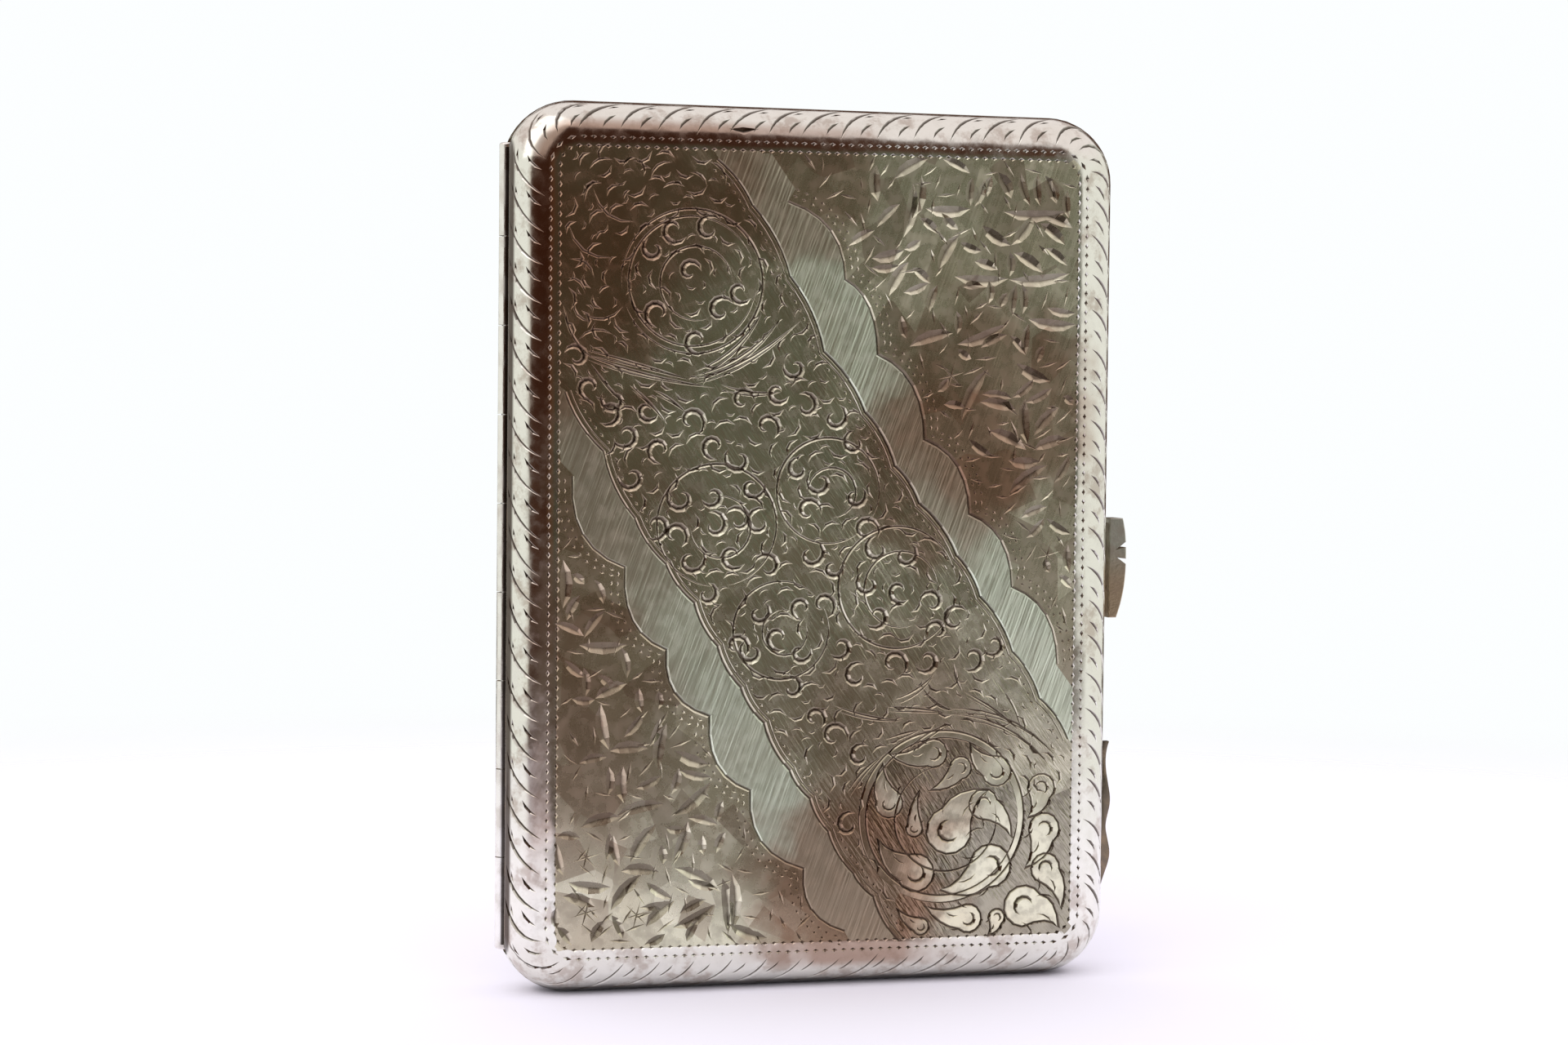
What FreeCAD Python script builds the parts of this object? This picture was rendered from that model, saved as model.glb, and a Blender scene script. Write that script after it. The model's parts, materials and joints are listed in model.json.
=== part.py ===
"""A hinged silver case for business cards, closed and standing on its short edge.

Two shallow pressed shells meet at a seam. A nine-knuckle hinge joins them along the left side, and a
thumbpiece on the right side frees a sprung hook. A sprung retainer in the back shell holds the cards.

Millimetres. +X is to the right, towards the thumbpiece, +Y to the back and +Z up. The origin is at the
bottom of the back shell's lip, half way across the width.
"""

import FreeCAD
import Part

import math
import os

Vec = FreeCAD.Vector
UP = Vec(0, 0, 1)
RIGHT = Vec(1, 0, 0)

# --- driving dimensions -------------------------------------------------------------------------------
WIDTH = 65.5  # across the two shells, without hinge or thumbpiece
HEIGHT = 92.0
HALF_DEPTH = 5.5  # from the seam to either face
CORNER_R = 7.0  # corners, seen from the front
EDGE_R = 5.0  # rounding from the side to the face
WALL = 0.7  # sheet silver
SEAM_GAP = 0.12  # between the two closed lips

KNUCKLES = 9  # odd ones from the bottom belong to the back shell
KNUCKLE_R = 0.9
PIN_R = 0.45
RUNNING_GAP = 0.05  # radial, between a pin and what turns on it
HINGE_INSET = 0.5  # the hinge axis, in from the side of the shells
HINGE_FROM_END = 5.0  # the first knuckle, up from the bottom edge
KNUCKLE_GAP = 0.12
COVE_R = 1.2  # hollow that the knuckles sit in
COVE_FROM_END = 4.0
OPENING_LIMIT_DEG = 170.0  # where the two bevelled hinge edges would meet

THUMB_Z = 43.7  # middle of the thumbpiece
THUMB_LENGTH = 10.8
THUMB_WIDTH = 3.4
THUMB_THICK = 1.95
THUMB_STANDOFF = 0.95  # from the shell's side to the underside of the thumbpiece
STEM_Y = 1.5  # middle of the stem, behind the lip
STEM_LENGTH = 9.8
STEM_THICK = 1.2
SLOT_GAP = 0.2  # around the stem
SPRING_THICK = 0.35  # the latch spring's strip
RIVET_R = 0.4
RIVET_RISES = (13.5, 18.5)  # above the middle of the thumbpiece

BEZEL_THICK = 0.5
BEZEL_GAP = 0.22  # between the bezel and the front shell's wall
BEZEL_RISE = 1.3  # how far it stands into the front shell
BEZEL_FOOT = 2.2  # how far it reaches down into the back shell

RETAINER_AXIS_X = -27.0
RETAINER_AXIS_Y = 3.6
RETAINER_SHEET = 0.4
RETAINER_EYE_R = 0.9
RETAINER_FROM_END = 12.0  # outer edge of either arm, from that end of the case
RETAINER_ARM = 3.0  # width of an arm
LUG_FROM_END = 9.2
LUG_THICK = 0.8

# --- worked out from them -----------------------------------------------------------------------------
SIDE_X = WIDTH / 2
FRONT_LIP_Y = -SEAM_GAP
BACK_LIP_Y = 0.0
AXIS_X = -SIDE_X + HINGE_INSET
AXIS_Y = -SEAM_GAP / 2
PIN_BORE_R = PIN_R + RUNNING_GAP
INNER_FACE_Y = HALF_DEPTH - WALL
BEZEL_INSET = WALL + BEZEL_GAP
BEZEL_INNER = BEZEL_INSET + BEZEL_THICK
SPRING_OUTER_X = SIDE_X - BEZEL_INNER
SPRING_INNER_X = SPRING_OUTER_X - SPRING_THICK
RIVET_Y = STEM_Y - 0.3
FAR = 200.0


def save(shape, name):
    """Writes one sub-part."""
    shape.exportStep(os.path.join("parts", name + ".step"))


def box(x0, x1, y0, y1, z0, z1):
    return Part.makeBox(x1 - x0, y1 - y0, z1 - z0, Vec(x0, y0, z0))


def rod(radius, x, y, z0, z1):
    """A cylinder that stands along Z."""
    return Part.makeCylinder(radius, z1 - z0, Vec(x, y, z0), UP)


def prism_up(points, z0, z1):
    """A polygon of (x, y) points, extruded from z0 to z1."""
    corners = [Vec(x, y, z0) for x, y in points]
    face = Part.Face(Part.makePolygon(corners + corners[:1]))
    return face.extrude(UP * (z1 - z0))


def outline(inset, y):
    """The case's rounded rectangle at a depth y, drawn in all round by inset."""
    r = CORNER_R - inset
    x = SIDE_X - inset
    low, high = inset, HEIGHT - inset
    corners = [(x - r, low + r, -90), (x - r, high - r, 0), (r - x, high - r, 90), (r - x, low + r, 180)]
    edges = []
    last = None
    for cx, cz, start in corners:
        at = [Vec(cx + r * math.cos(math.radians(start + t)), y, cz + r * math.sin(math.radians(start + t)))
              for t in (0, 45, 90)]
        if last:
            edges.append(Part.LineSegment(last, at[0]).toShape())
        edges.append(Part.Arc(*at).toShape())
        last = at[2]
    first = Vec(corners[0][0], y, low)
    edges.append(Part.LineSegment(last, first).toShape())
    return Part.Wire(edges)


def slab(inset, y0, y1):
    """The rounded rectangle as a plate between two depths."""
    return Part.Face(outline(inset, y0)).extrude(Vec(0, y1 - y0, 0))


def pillow(inset, lip_y, face_y):
    """A plate whose edges round over to the face at face_y."""
    plate = slab(inset, lip_y, face_y)
    rim = [e for e in plate.Edges if all(abs(v.Point.y - face_y) < 1e-6 for v in e.Vertexes)]
    return plate.makeFillet(EDGE_R - inset, rim)


# The space inside each shell, which pieces soldered to its wall are fitted to.
BACK_HOLLOW = pillow(WALL, BACK_LIP_Y, INNER_FACE_Y)
FRONT_HOLLOW = pillow(WALL, FRONT_LIP_Y, -INNER_FACE_Y)


def hinge_relief(side):
    """What is cut from a shell at its hinge edge: the knuckles' cove, and a bevel so that the case opens wide.
    side is 1 for the back shell and -1 for the front one."""
    low, high = COVE_FROM_END, HEIGHT - COVE_FROM_END
    cove = rod(COVE_R, AXIS_X, AXIS_Y, low, high)
    lean = math.radians(90 - OPENING_LIMIT_DEG / 2)
    reach = 4.0
    bevel = [(0, 0), (-reach * math.sin(lean), side * reach), (-reach, side * reach), (-reach, 0)]
    return cove.fuse(prism_up([(AXIS_X + x, AXIS_Y + y) for x, y in bevel], low, high))


def stem_slot():
    """The slot that the thumbpiece's stem slides in."""
    half_y, half_z = STEM_THICK / 2 + SLOT_GAP, STEM_LENGTH / 2 + SLOT_GAP
    return box(30, 40, STEM_Y - half_y, STEM_Y + half_y, THUMB_Z - half_z, THUMB_Z + half_z)


def front_shell():
    shell = pillow(0, FRONT_LIP_Y, -HALF_DEPTH).cut(FRONT_HOLLOW)
    return shell.cut(hinge_relief(-1))


def back_shell():
    shell = pillow(0, BACK_LIP_Y, HALF_DEPTH).cut(BACK_HOLLOW)
    return shell.cut(hinge_relief(1)).cut(stem_slot())


# --- hinge --------------------------------------------------------------------------------------------
def hinge_bearer(side):
    """The coved strip soldered inside a shell's hinge edge, which its knuckles are soldered to."""
    deep, across = 2.8, 1.9
    lip = BACK_LIP_Y if side > 0 else FRONT_LIP_Y
    y0, y1 = sorted((lip, side * deep))
    strip = box(-SIDE_X, AXIS_X + across, y0, y1, COVE_FROM_END, HEIGHT - COVE_FROM_END)
    hollow = BACK_HOLLOW if side > 0 else FRONT_HOLLOW
    return strip.common(hollow).cut(rod(COVE_R, AXIS_X, AXIS_Y, 0, HEIGHT))


def arc_sector(r0, r1, deg0, deg1, z0, z1):
    """A block between two radii and two angles about the hinge axis."""
    def at(r, deg):
        a = math.radians(deg)
        return Vec(AXIS_X + r * math.cos(a), AXIS_Y + r * math.sin(a), z0)
    middle = (deg0 + deg1) / 2
    edges = [
        Part.Arc(at(r1, deg0), at(r1, middle), at(r1, deg1)).toShape(),
        Part.LineSegment(at(r1, deg1), at(r0, deg1)).toShape(),
        Part.Arc(at(r0, deg1), at(r0, middle), at(r0, deg0)).toShape(),
        Part.LineSegment(at(r0, deg0), at(r1, deg0)).toShape(),
    ]
    return Part.Face(Part.Wire(edges)).extrude(UP * (z1 - z0))


def knuckle_span(i):
    """Lowest and highest Z of knuckle i, counted from 0 at the bottom."""
    total = HEIGHT - 2 * HINGE_FROM_END
    length = (total - (KNUCKLES - 1) * KNUCKLE_GAP) / KNUCKLES
    z0 = HINGE_FROM_END + i * (length + KNUCKLE_GAP)
    return z0, z0 + length


def knuckle(i):
    """One tube of the hinge, with the solder fillet that joins it to its own bearer."""
    z0, z1 = knuckle_span(i)
    side = 1 if i % 2 == 0 else -1
    tube = rod(KNUCKLE_R, AXIS_X, AXIS_Y, z0, z1)
    fillet = arc_sector(PIN_BORE_R + 0.1, COVE_R, *sorted((side * 15, side * 75)), z0, z1)
    return tube.fuse(fillet).cut(rod(PIN_BORE_R, AXIS_X, AXIS_Y, z0 - 1, z1 + 1)).removeSplitter()


def hinge_pin():
    return rod(PIN_R, AXIS_X, AXIS_Y, HINGE_FROM_END, HEIGHT - HINGE_FROM_END)


def hinge_cap(top):
    """The small domed plug that hides an end of the pin."""
    thick, dome = 0.5, 0.25
    end = HEIGHT - HINGE_FROM_END if top else HINGE_FROM_END - thick
    cap = rod(KNUCKLE_R, AXIS_X, AXIS_Y, end, end + thick)
    outer = end + thick if top else end
    rim = [e for e in cap.Edges if abs(e.BoundBox.ZMin - outer) < 1e-6 and abs(e.BoundBox.ZMax - outer) < 1e-6]
    return cap.makeFillet(dome, rim)


# --- bezel, catch and thumbpiece ----------------------------------------------------------------------
def spring_holes():
    """The two rivet shanks through the latch spring and the bezel."""
    start_x = SPRING_INNER_X - 0.25
    length = SPRING_OUTER_X + BEZEL_THICK - start_x
    return [Part.makeCylinder(RIVET_R, length, Vec(start_x, RIVET_Y, THUMB_Z + up), RIGHT) for up in RIVET_RISES]


def bezel_half(upper):
    """Half of the lip that the front shell closes over: it runs from the hinge round one corner to the catch."""
    foot_top, catch_window = 0.15, 6.5
    foot = slab(WALL, foot_top, BEZEL_FOOT).common(BACK_HOLLOW)
    lip = slab(BEZEL_INSET, -BEZEL_RISE, foot_top)
    ring = foot.fuse(lip).cut(slab(BEZEL_INNER, -FAR / 2, FAR / 2))
    hinge_side = box(-FAR, CORNER_R - SIDE_X, -FAR, FAR, -FAR, FAR)
    if upper:
        other_half = box(-FAR, FAR, -FAR, FAR, -FAR, THUMB_Z + catch_window)
    else:
        other_half = box(-FAR, FAR, -FAR, FAR, THUMB_Z - catch_window, FAR)
    bezel = ring.cut(hinge_side).cut(other_half)
    for hole in spring_holes():
        bezel = bezel.cut(hole)
    return bezel


def latch_spring():
    """A strip riveted at its top. Its free end carries the stem, and a nose that hooks behind the keeper."""
    low, high = THUMB_Z - STEM_LENGTH / 2 - 0.1, THUMB_Z + 21
    nose_half, catch_y, tip_y, bite = 2.5, -1.3, -2.1, 0.45
    strip = box(SPRING_INNER_X, SPRING_OUTER_X, 0.3, 2.4, low, high)
    nose = [(SPRING_INNER_X, 0.4), (SPRING_OUTER_X, 0.4), (SPRING_OUTER_X, catch_y),
            (SPRING_OUTER_X + bite, catch_y), (SPRING_OUTER_X + bite, catch_y - 0.12),
            (SPRING_OUTER_X + 0.02, tip_y), (SPRING_INNER_X, tip_y)]
    strip = strip.fuse(prism_up(nose, THUMB_Z - nose_half, THUMB_Z + nose_half))
    for hole in spring_holes():
        strip = strip.cut(hole)
    return strip.removeSplitter()


def spring_rivet(i):
    """A rivet with a round head on the spring's inner face."""
    head_r, head, dome = 0.75, 0.3, 0.2
    trimmed = spring_holes()[i].common(box(SPRING_INNER_X, FAR, -FAR, FAR, -FAR, FAR))
    top = Vec(SPRING_INNER_X - head, RIVET_Y, THUMB_Z + RIVET_RISES[i])
    cap = Part.makeCylinder(head_r, head, top, RIGHT)
    rim = [e for e in cap.Edges if abs(e.BoundBox.XMax - top.x) < 1e-6]
    return cap.makeFillet(dome, rim).fuse(trimmed).removeSplitter()


def stem_guide():
    """The plate inside the back shell's wall that keeps the stem straight."""
    thick, half_z = 0.5, 5.8
    plate = box(SIDE_X - WALL - thick, SIDE_X, 0.15, 3.0, THUMB_Z - half_z, THUMB_Z + half_z)
    return plate.common(BACK_HOLLOW).cut(stem_slot())


def catch_keeper():
    """The ledge inside the front shell's wall that the nose hooks behind."""
    spring_gap, half_z = 0.12, 3.0
    ledge = box(SPRING_OUTER_X + spring_gap, SIDE_X, -1.2, -0.6, THUMB_Z - half_z, THUMB_Z + half_z)
    return ledge.common(FRONT_HOLLOW)


def thumb_stem():
    half_y, half_z = STEM_THICK / 2, STEM_LENGTH / 2
    return box(SPRING_OUTER_X, SIDE_X + THUMB_STANDOFF, STEM_Y - half_y, STEM_Y + half_y,
               THUMB_Z - half_z, THUMB_Z + half_z)


def thumbpiece():
    """The bar that the thumb presses: flat underneath, swelling to its greatest thickness above the middle."""
    x0 = SIDE_X + THUMB_STANDOFF
    y0 = STEM_Y - THUMB_WIDTH / 2
    low, high = THUMB_Z - THUMB_LENGTH / 2, THUMB_Z + THUMB_LENGTH / 2
    foot, top = x0 + 0.45 * THUMB_THICK, x0 + 0.78 * THUMB_THICK
    crest = Vec(x0 + THUMB_THICK, y0, THUMB_Z + 0.13 * THUMB_LENGTH)
    edges = [
        Part.LineSegment(Vec(x0, y0, high), Vec(x0, y0, low)).toShape(),
        Part.LineSegment(Vec(x0, y0, low), Vec(foot, y0, low)).toShape(),
        Part.Arc(Vec(foot, y0, low), crest, Vec(top, y0, high)).toShape(),
        Part.LineSegment(Vec(top, y0, high), Vec(x0, y0, high)).toShape(),
    ]
    bar = Part.Face(Part.Wire(edges)).extrude(Vec(0, THUMB_WIDTH, 0))
    outer = [e for e in bar.Edges if e.BoundBox.XMin > x0 + 0.5]
    return bar.makeFillet(0.3, outer)


def lift_tab():
    """The thin two-lobed leaf soldered to the back shell's edge, for a fingernail."""
    y0, thick = 0.15, 0.7
    outer = [(8.2, 0.4), (9.9, 0.88), (12.6, 1.6), (15.6, 1.12), (17.8, 1.55), (21.0, 1.18), (24.8, 1.4)]
    curve = Part.BSplineCurve()
    curve.interpolate([Vec(SIDE_X + out, y0, z) for z, out in outer])
    low, high = Vec(SIDE_X, y0, outer[0][0]), Vec(SIDE_X, y0, outer[-1][0])
    edges = [
        Part.LineSegment(low, curve.value(curve.FirstParameter)).toShape(),
        curve.toShape(),
        Part.LineSegment(curve.value(curve.LastParameter), high).toShape(),
        Part.LineSegment(high, low).toShape(),
    ]
    return Part.Face(Part.Wire(edges)).extrude(Vec(0, thick, 0))


# --- card retainer ------------------------------------------------------------------------------------
def retainer_frame():
    """Two arms and a bar in one sheet, with an eye rolled at the end of each arm."""
    y1 = RETAINER_AXIS_Y + RETAINER_EYE_R
    y0 = y1 - RETAINER_SHEET
    bar_x0, bar_x1, bar_corner = -5.0, 1.0, 2.0
    eye_overhang = 0.5
    low, high = RETAINER_FROM_END, HEIGHT - RETAINER_FROM_END
    frame = box(bar_x0, bar_x1, y0, y1, low, high)
    for z0, z1 in ((low, low + RETAINER_ARM), (high - RETAINER_ARM, high)):
        frame = frame.fuse(box(RETAINER_AXIS_X, bar_x0 + 1, y0, y1, z0, z1))
        frame = frame.fuse(rod(RETAINER_EYE_R, RETAINER_AXIS_X, RETAINER_AXIS_Y, z0 - eye_overhang,
                               z1 + eye_overhang))
    frame = frame.removeSplitter()
    upright = [e for e in frame.Edges if e.BoundBox.YLength > 0.9 * RETAINER_SHEET and e.BoundBox.XLength < 1e-6
               and e.BoundBox.ZLength < 1e-6 and e.BoundBox.XMin > bar_x1 - 0.1]
    frame = frame.makeFillet(bar_corner, upright)
    return frame.cut(rod(PIN_BORE_R, RETAINER_AXIS_X, RETAINER_AXIS_Y, 0, HEIGHT))


def retainer_lug():
    """The small ear on the back shell's floor that holds the lower end of the retainer's pivot wire."""
    half, z0, z1 = 1.2, LUG_FROM_END, LUG_FROM_END + LUG_THICK
    ear = box(RETAINER_AXIS_X - half, RETAINER_AXIS_X + half, RETAINER_AXIS_Y, INNER_FACE_Y, z0, z1)
    ear = ear.fuse(rod(half, RETAINER_AXIS_X, RETAINER_AXIS_Y, z0, z1)).common(BACK_HOLLOW)
    return ear.cut(rod(PIN_R, RETAINER_AXIS_X, RETAINER_AXIS_Y, 0, HEIGHT)).removeSplitter()


def retainer_wire():
    end = LUG_FROM_END - 0.4
    return rod(PIN_R, RETAINER_AXIS_X, RETAINER_AXIS_Y, end, HEIGHT - end)


def torsion_spring():
    """The lower coil on the pivot wire. One leg stands on the shell's floor and the other bears on an arm."""
    wire_r, coil_r, turns, pitch = 0.15, 0.8, 3, 0.36
    reach, hook = 4.0, 2.2
    rise = RETAINER_EYE_R - RETAINER_SHEET - wire_r - 0.02
    low = LUG_FROM_END + LUG_THICK + 0.2
    high = low + pitch * turns
    x, y = RETAINER_AXIS_X + coil_r, RETAINER_AXIS_Y

    helix = Part.makeHelix(pitch, high - low, coil_r)
    helix.Placement = FreeCAD.Placement(Vec(RETAINER_AXIS_X, y, low), FreeCAD.Rotation())
    section = Part.Wire(Part.makeCircle(wire_r, Vec(x, y, low), Vec(0, coil_r * 2 * math.pi, pitch)))
    coil = Part.Wire(helix).makePipeShell([section], True, True)

    bend = Vec(x + reach, y + rise, high)
    leg = Part.makeCylinder(wire_r, math.hypot(reach, rise), Vec(x, y, high), Vec(reach, rise, 0))
    elbow = Part.makeSphere(wire_r, bend)
    over_arm = Part.makeCylinder(wire_r, hook, bend, UP)
    on_floor = Part.makeCylinder(wire_r, INNER_FACE_Y - y, Vec(x, y, low), Vec(0, 1, 0))
    return coil.fuse([leg, elbow, over_arm, on_floor])


def at_other_end(shape):
    """The piece's mirror image, for the other end of the case."""
    return shape.mirror(Vec(0, 0, HEIGHT / 2), UP)


def main():
    os.makedirs("parts", exist_ok=True)
    save(front_shell(), "front_cover")
    save(back_shell(), "back_cover")
    save(hinge_bearer(-1), "front_hinge_bearer")
    save(hinge_bearer(1), "back_hinge_bearer")
    for i in range(KNUCKLES):
        owner = "back" if i % 2 == 0 else "front"
        save(knuckle(i), f"{owner}_knuckle_{i // 2 + 1}")
    save(hinge_pin(), "hinge_pin")
    save(hinge_cap(False), "hinge_cap_lower")
    save(hinge_cap(True), "hinge_cap_upper")
    save(bezel_half(True), "locating_bezel_upper")
    save(bezel_half(False), "locating_bezel_lower")
    save(latch_spring(), "latch_spring")
    save(spring_rivet(0), "spring_rivet_lower")
    save(spring_rivet(1), "spring_rivet_upper")
    save(stem_guide(), "stem_guide")
    save(catch_keeper(), "catch_keeper")
    save(thumb_stem(), "thumb_stem")
    save(thumbpiece(), "thumbpiece")
    save(lift_tab(), "lift_tab")
    save(retainer_frame(), "card_retainer")
    save(retainer_wire(), "retainer_wire")
    for piece, name in ((retainer_lug(), "retainer_lug"), (torsion_spring(), "retainer_spring")):
        save(piece, name + "_lower")
        save(at_other_end(piece), name + "_upper")


main()
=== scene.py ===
import json
import math
import random

import bmesh
import bpy
import numpy as np
from mathutils import Matrix, Vector
from mathutils.geometry import delaunay_2d_cdt, tessellate_polygon


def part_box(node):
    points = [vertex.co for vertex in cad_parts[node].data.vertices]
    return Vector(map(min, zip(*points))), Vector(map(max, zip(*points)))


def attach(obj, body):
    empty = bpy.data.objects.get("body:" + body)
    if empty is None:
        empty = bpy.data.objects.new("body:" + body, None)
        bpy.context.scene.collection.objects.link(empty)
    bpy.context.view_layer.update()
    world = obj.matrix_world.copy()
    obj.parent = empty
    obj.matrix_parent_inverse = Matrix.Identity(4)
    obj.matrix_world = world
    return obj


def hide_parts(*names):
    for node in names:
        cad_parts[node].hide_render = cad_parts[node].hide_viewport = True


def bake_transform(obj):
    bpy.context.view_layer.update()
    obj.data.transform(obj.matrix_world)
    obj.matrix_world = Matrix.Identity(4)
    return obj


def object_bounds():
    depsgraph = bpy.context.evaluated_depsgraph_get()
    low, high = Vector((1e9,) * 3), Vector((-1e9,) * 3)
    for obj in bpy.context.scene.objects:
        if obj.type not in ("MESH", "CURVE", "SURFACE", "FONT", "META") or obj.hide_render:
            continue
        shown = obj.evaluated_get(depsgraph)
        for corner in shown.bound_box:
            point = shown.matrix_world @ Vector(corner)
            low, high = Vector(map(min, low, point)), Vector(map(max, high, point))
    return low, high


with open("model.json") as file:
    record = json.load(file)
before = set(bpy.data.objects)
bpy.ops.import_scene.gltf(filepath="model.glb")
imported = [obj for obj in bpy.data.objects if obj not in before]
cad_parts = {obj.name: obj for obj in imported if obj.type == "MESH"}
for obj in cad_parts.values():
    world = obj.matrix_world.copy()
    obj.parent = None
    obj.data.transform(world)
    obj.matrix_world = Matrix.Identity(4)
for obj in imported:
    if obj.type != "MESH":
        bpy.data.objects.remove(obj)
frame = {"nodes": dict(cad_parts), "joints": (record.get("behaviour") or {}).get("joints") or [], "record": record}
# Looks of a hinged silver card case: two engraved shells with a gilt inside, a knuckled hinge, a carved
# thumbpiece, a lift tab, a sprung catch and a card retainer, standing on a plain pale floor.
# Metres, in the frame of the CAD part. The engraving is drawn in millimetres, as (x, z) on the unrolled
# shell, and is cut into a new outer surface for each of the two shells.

cad_low, cad_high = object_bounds()
rng = random.Random(17)
MM = 0.001

# --- shape of the shells, in millimetres --------------------------------------------------------------
shell_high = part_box("front_cover")[1] / MM
face_y = -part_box("front_cover")[0].y / MM
SIDE_X = shell_high.x
HEIGHT = shell_high.z
CORNER_R = 7.0  # corners, seen from the front
EDGE_R = 5.0  # rounding from the side to the face
FIELD_R = CORNER_R - EDGE_R  # corners of the flat field
WALL_Y = face_y - EDGE_R  # where the rounding starts, from the seam
ROUND_LENGTH = EDGE_R * math.pi / 2
CORE_X = SIDE_X - CORNER_R
ACROSS, UP = 2 * CORE_X, HEIGHT - 2 * CORNER_R  # straight stretches of the rim
QUARTER = FIELD_R * math.pi / 2  # its corners, measured at the field's border
RINGS = 14  # rows of facets round the edge
CORNER_STEPS = 12
STRAIGHT_STEP = 4.0

FINE, LINE = 0.24, 0.34  # widths of the engraver's cuts
CUT_SLOPE = 0.68  # depth of a cut over half its width
SHALLOW = 0.004  # less than this counts as uncut
LIT_SIDE = (-0.6, 0.8)  # the way that the lit side of a cut faces; the other side gets painted shade
SHADED_SIDE = 0.62  # how dark the painted shade on the other side of a cut is
SHADED_LEAF = 0.78  # the same for the broad cuts of the leaf grounds
LEAF_BOTTOM = 0.8  # how dirty those are at the bottom of the V
BOLD = 0.5  # width of the lines that bound the band and the strips
ROW_GAP = 0.95  # between the two dotted rows round the field
RIM_BORDER = 6.9  # from the field out to the line round the rim
MID_RIM = 3.5  # from the field out to the middle of the rim
RIM_LEAVES = 76
RING_GAP = 0.75  # between the two outer rings of a large medallion
STEP_OVER = 0.12  # the engraving stops this near the shell's cut edges
STROKE_SHARE = 0.1  # a place nearer than this to the top of a cut counts as uncut
SMOOTH_BELOW = 28  # degrees between facets that are shaded as one surface


def linked(name, data):
    """A new object in the scene."""
    obj = bpy.data.objects.new(name, data)
    bpy.context.scene.collection.objects.link(obj)
    return obj


def mesh_object(bm, name):
    mesh = bpy.data.meshes.new(name)
    bm.to_mesh(mesh)
    bm.free()
    return linked(name, mesh)


# --- the unrolled shell -------------------------------------------------------------------------------
def from_core(x, z):
    """Distance and direction from the nearest point of the rectangle through the corners' centres."""
    cx = min(max(x, -CORE_X), CORE_X)
    cz = min(max(z, CORNER_R), HEIGHT - CORNER_R)
    r = math.hypot(x - cx, z - cz)
    if r < 1e-9:
        return cx, cz, 0.0, 0.0, 1.0
    return cx, cz, r, (x - cx) / r, (z - cz) / r


def roll(x, z, side):
    """The place and the normal on the shell of a point of the unrolled sheet. side is -1 for the front."""
    cx, cz, r, ux, uz = from_core(x, z)
    d = r - FIELD_R
    if d <= 0:
        return Vector((x, side * face_y, z)), Vector((0, side, 0))
    if d <= ROUND_LENGTH:
        turn = d / EDGE_R
        out = FIELD_R + EDGE_R * math.sin(turn)
        depth = WALL_Y + EDGE_R * math.cos(turn)
        normal = Vector((ux * math.sin(turn), side * math.cos(turn), uz * math.sin(turn)))
    else:
        out = CORNER_R
        depth = WALL_Y - (d - ROUND_LENGTH)
        normal = Vector((ux, 0, uz))
    return Vector((cx + ux * out, side * depth, cz + uz * out)), normal


def unroll(p, side):
    """The point of the sheet for a point on the shell."""
    cx, cz, r, ux, uz = from_core(p.x, p.z)
    depth = p.y * side
    if depth < WALL_Y:
        out = FIELD_R + ROUND_LENGTH + WALL_Y - depth
    elif r > FIELD_R:
        out = FIELD_R + EDGE_R * math.atan2(r - FIELD_R, depth - WALL_Y)
    else:
        out = r
    return cx + ux * out, cz + uz * out


def on_outside(p, normal, side):
    """True for a facet of the shell's outer surface."""
    near = 0.05
    place, outward = roll(*unroll(p, side), side)
    return (p - place).length < near and outward.dot(normal) > 0.7


def round_rim(s, d):
    """The sheet's point at a distance s round the field's border and d outside it.
    s runs anticlockwise from the left end of the bottom edge, seen from the front."""
    sides = [(ACROSS, (-CORE_X, CORNER_R), -90), (UP, (CORE_X, CORNER_R), 0),
             (ACROSS, (CORE_X, HEIGHT - CORNER_R), 90), (UP, (-CORE_X, HEIGHT - CORNER_R), 180)]
    s %= 2 * (ACROSS + UP) + 4 * QUARTER
    for length, (x, z), facing in sides:
        a = math.radians(facing)
        along = (-math.sin(a), math.cos(a))
        if s < length:
            return (x + along[0] * s + math.cos(a) * (FIELD_R + d),
                    z + along[1] * s + math.sin(a) * (FIELD_R + d))
        s -= length
        x, z = x + along[0] * length, z + along[1] * length
        if s < QUARTER:
            a += s / FIELD_R
            return x + math.cos(a) * (FIELD_R + d), z + math.sin(a) * (FIELD_R + d)
        s -= QUARTER
    return x, z


def along_rim(u, d):
    """As round_rim, but u is measured round the middle of the rim: nothing stretches at the corners."""
    long = (FIELD_R + MID_RIM) * math.pi / 2
    u %= RIM_LENGTH + 4 * (long - QUARTER)
    s = 0.0
    for length in (ACROSS, UP) * 2:
        if u < length:
            break
        u, s = u - length, s + length
        if u < long:
            u *= QUARTER / long
            break
        u, s = u - long, s + QUARTER
    return round_rim(s + u, d)


hinge_x = frame["joints"][0]["pos_m"][0] / MM
RIM_LENGTH = 4 * CORE_X + 2 * (HEIGHT - 2 * CORNER_R) + FIELD_R * 2 * math.pi
MID_LENGTH = RIM_LENGTH + MID_RIM * 2 * math.pi


# --- engraver's cuts ----------------------------------------------------------------------------------
cuts = []  # (points, half widths, slope)


def cut(points, width, ends=(0.0, 0.0), slope=CUT_SLOPE):
    """A V cut along a line. It narrows to the given parts of its width at its two ends."""
    n = len(points) - 1
    halves = []
    for i in range(n + 1):
        t = i / n
        swell = math.sin(math.pi * t) ** 0.6 if 0 < t < 1 else 0.0
        least = ends[0] * (1 - t) + ends[1] * t
        halves.append(width / 2 * max(swell, least))
    cuts.append((points, halves, slope))


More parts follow.
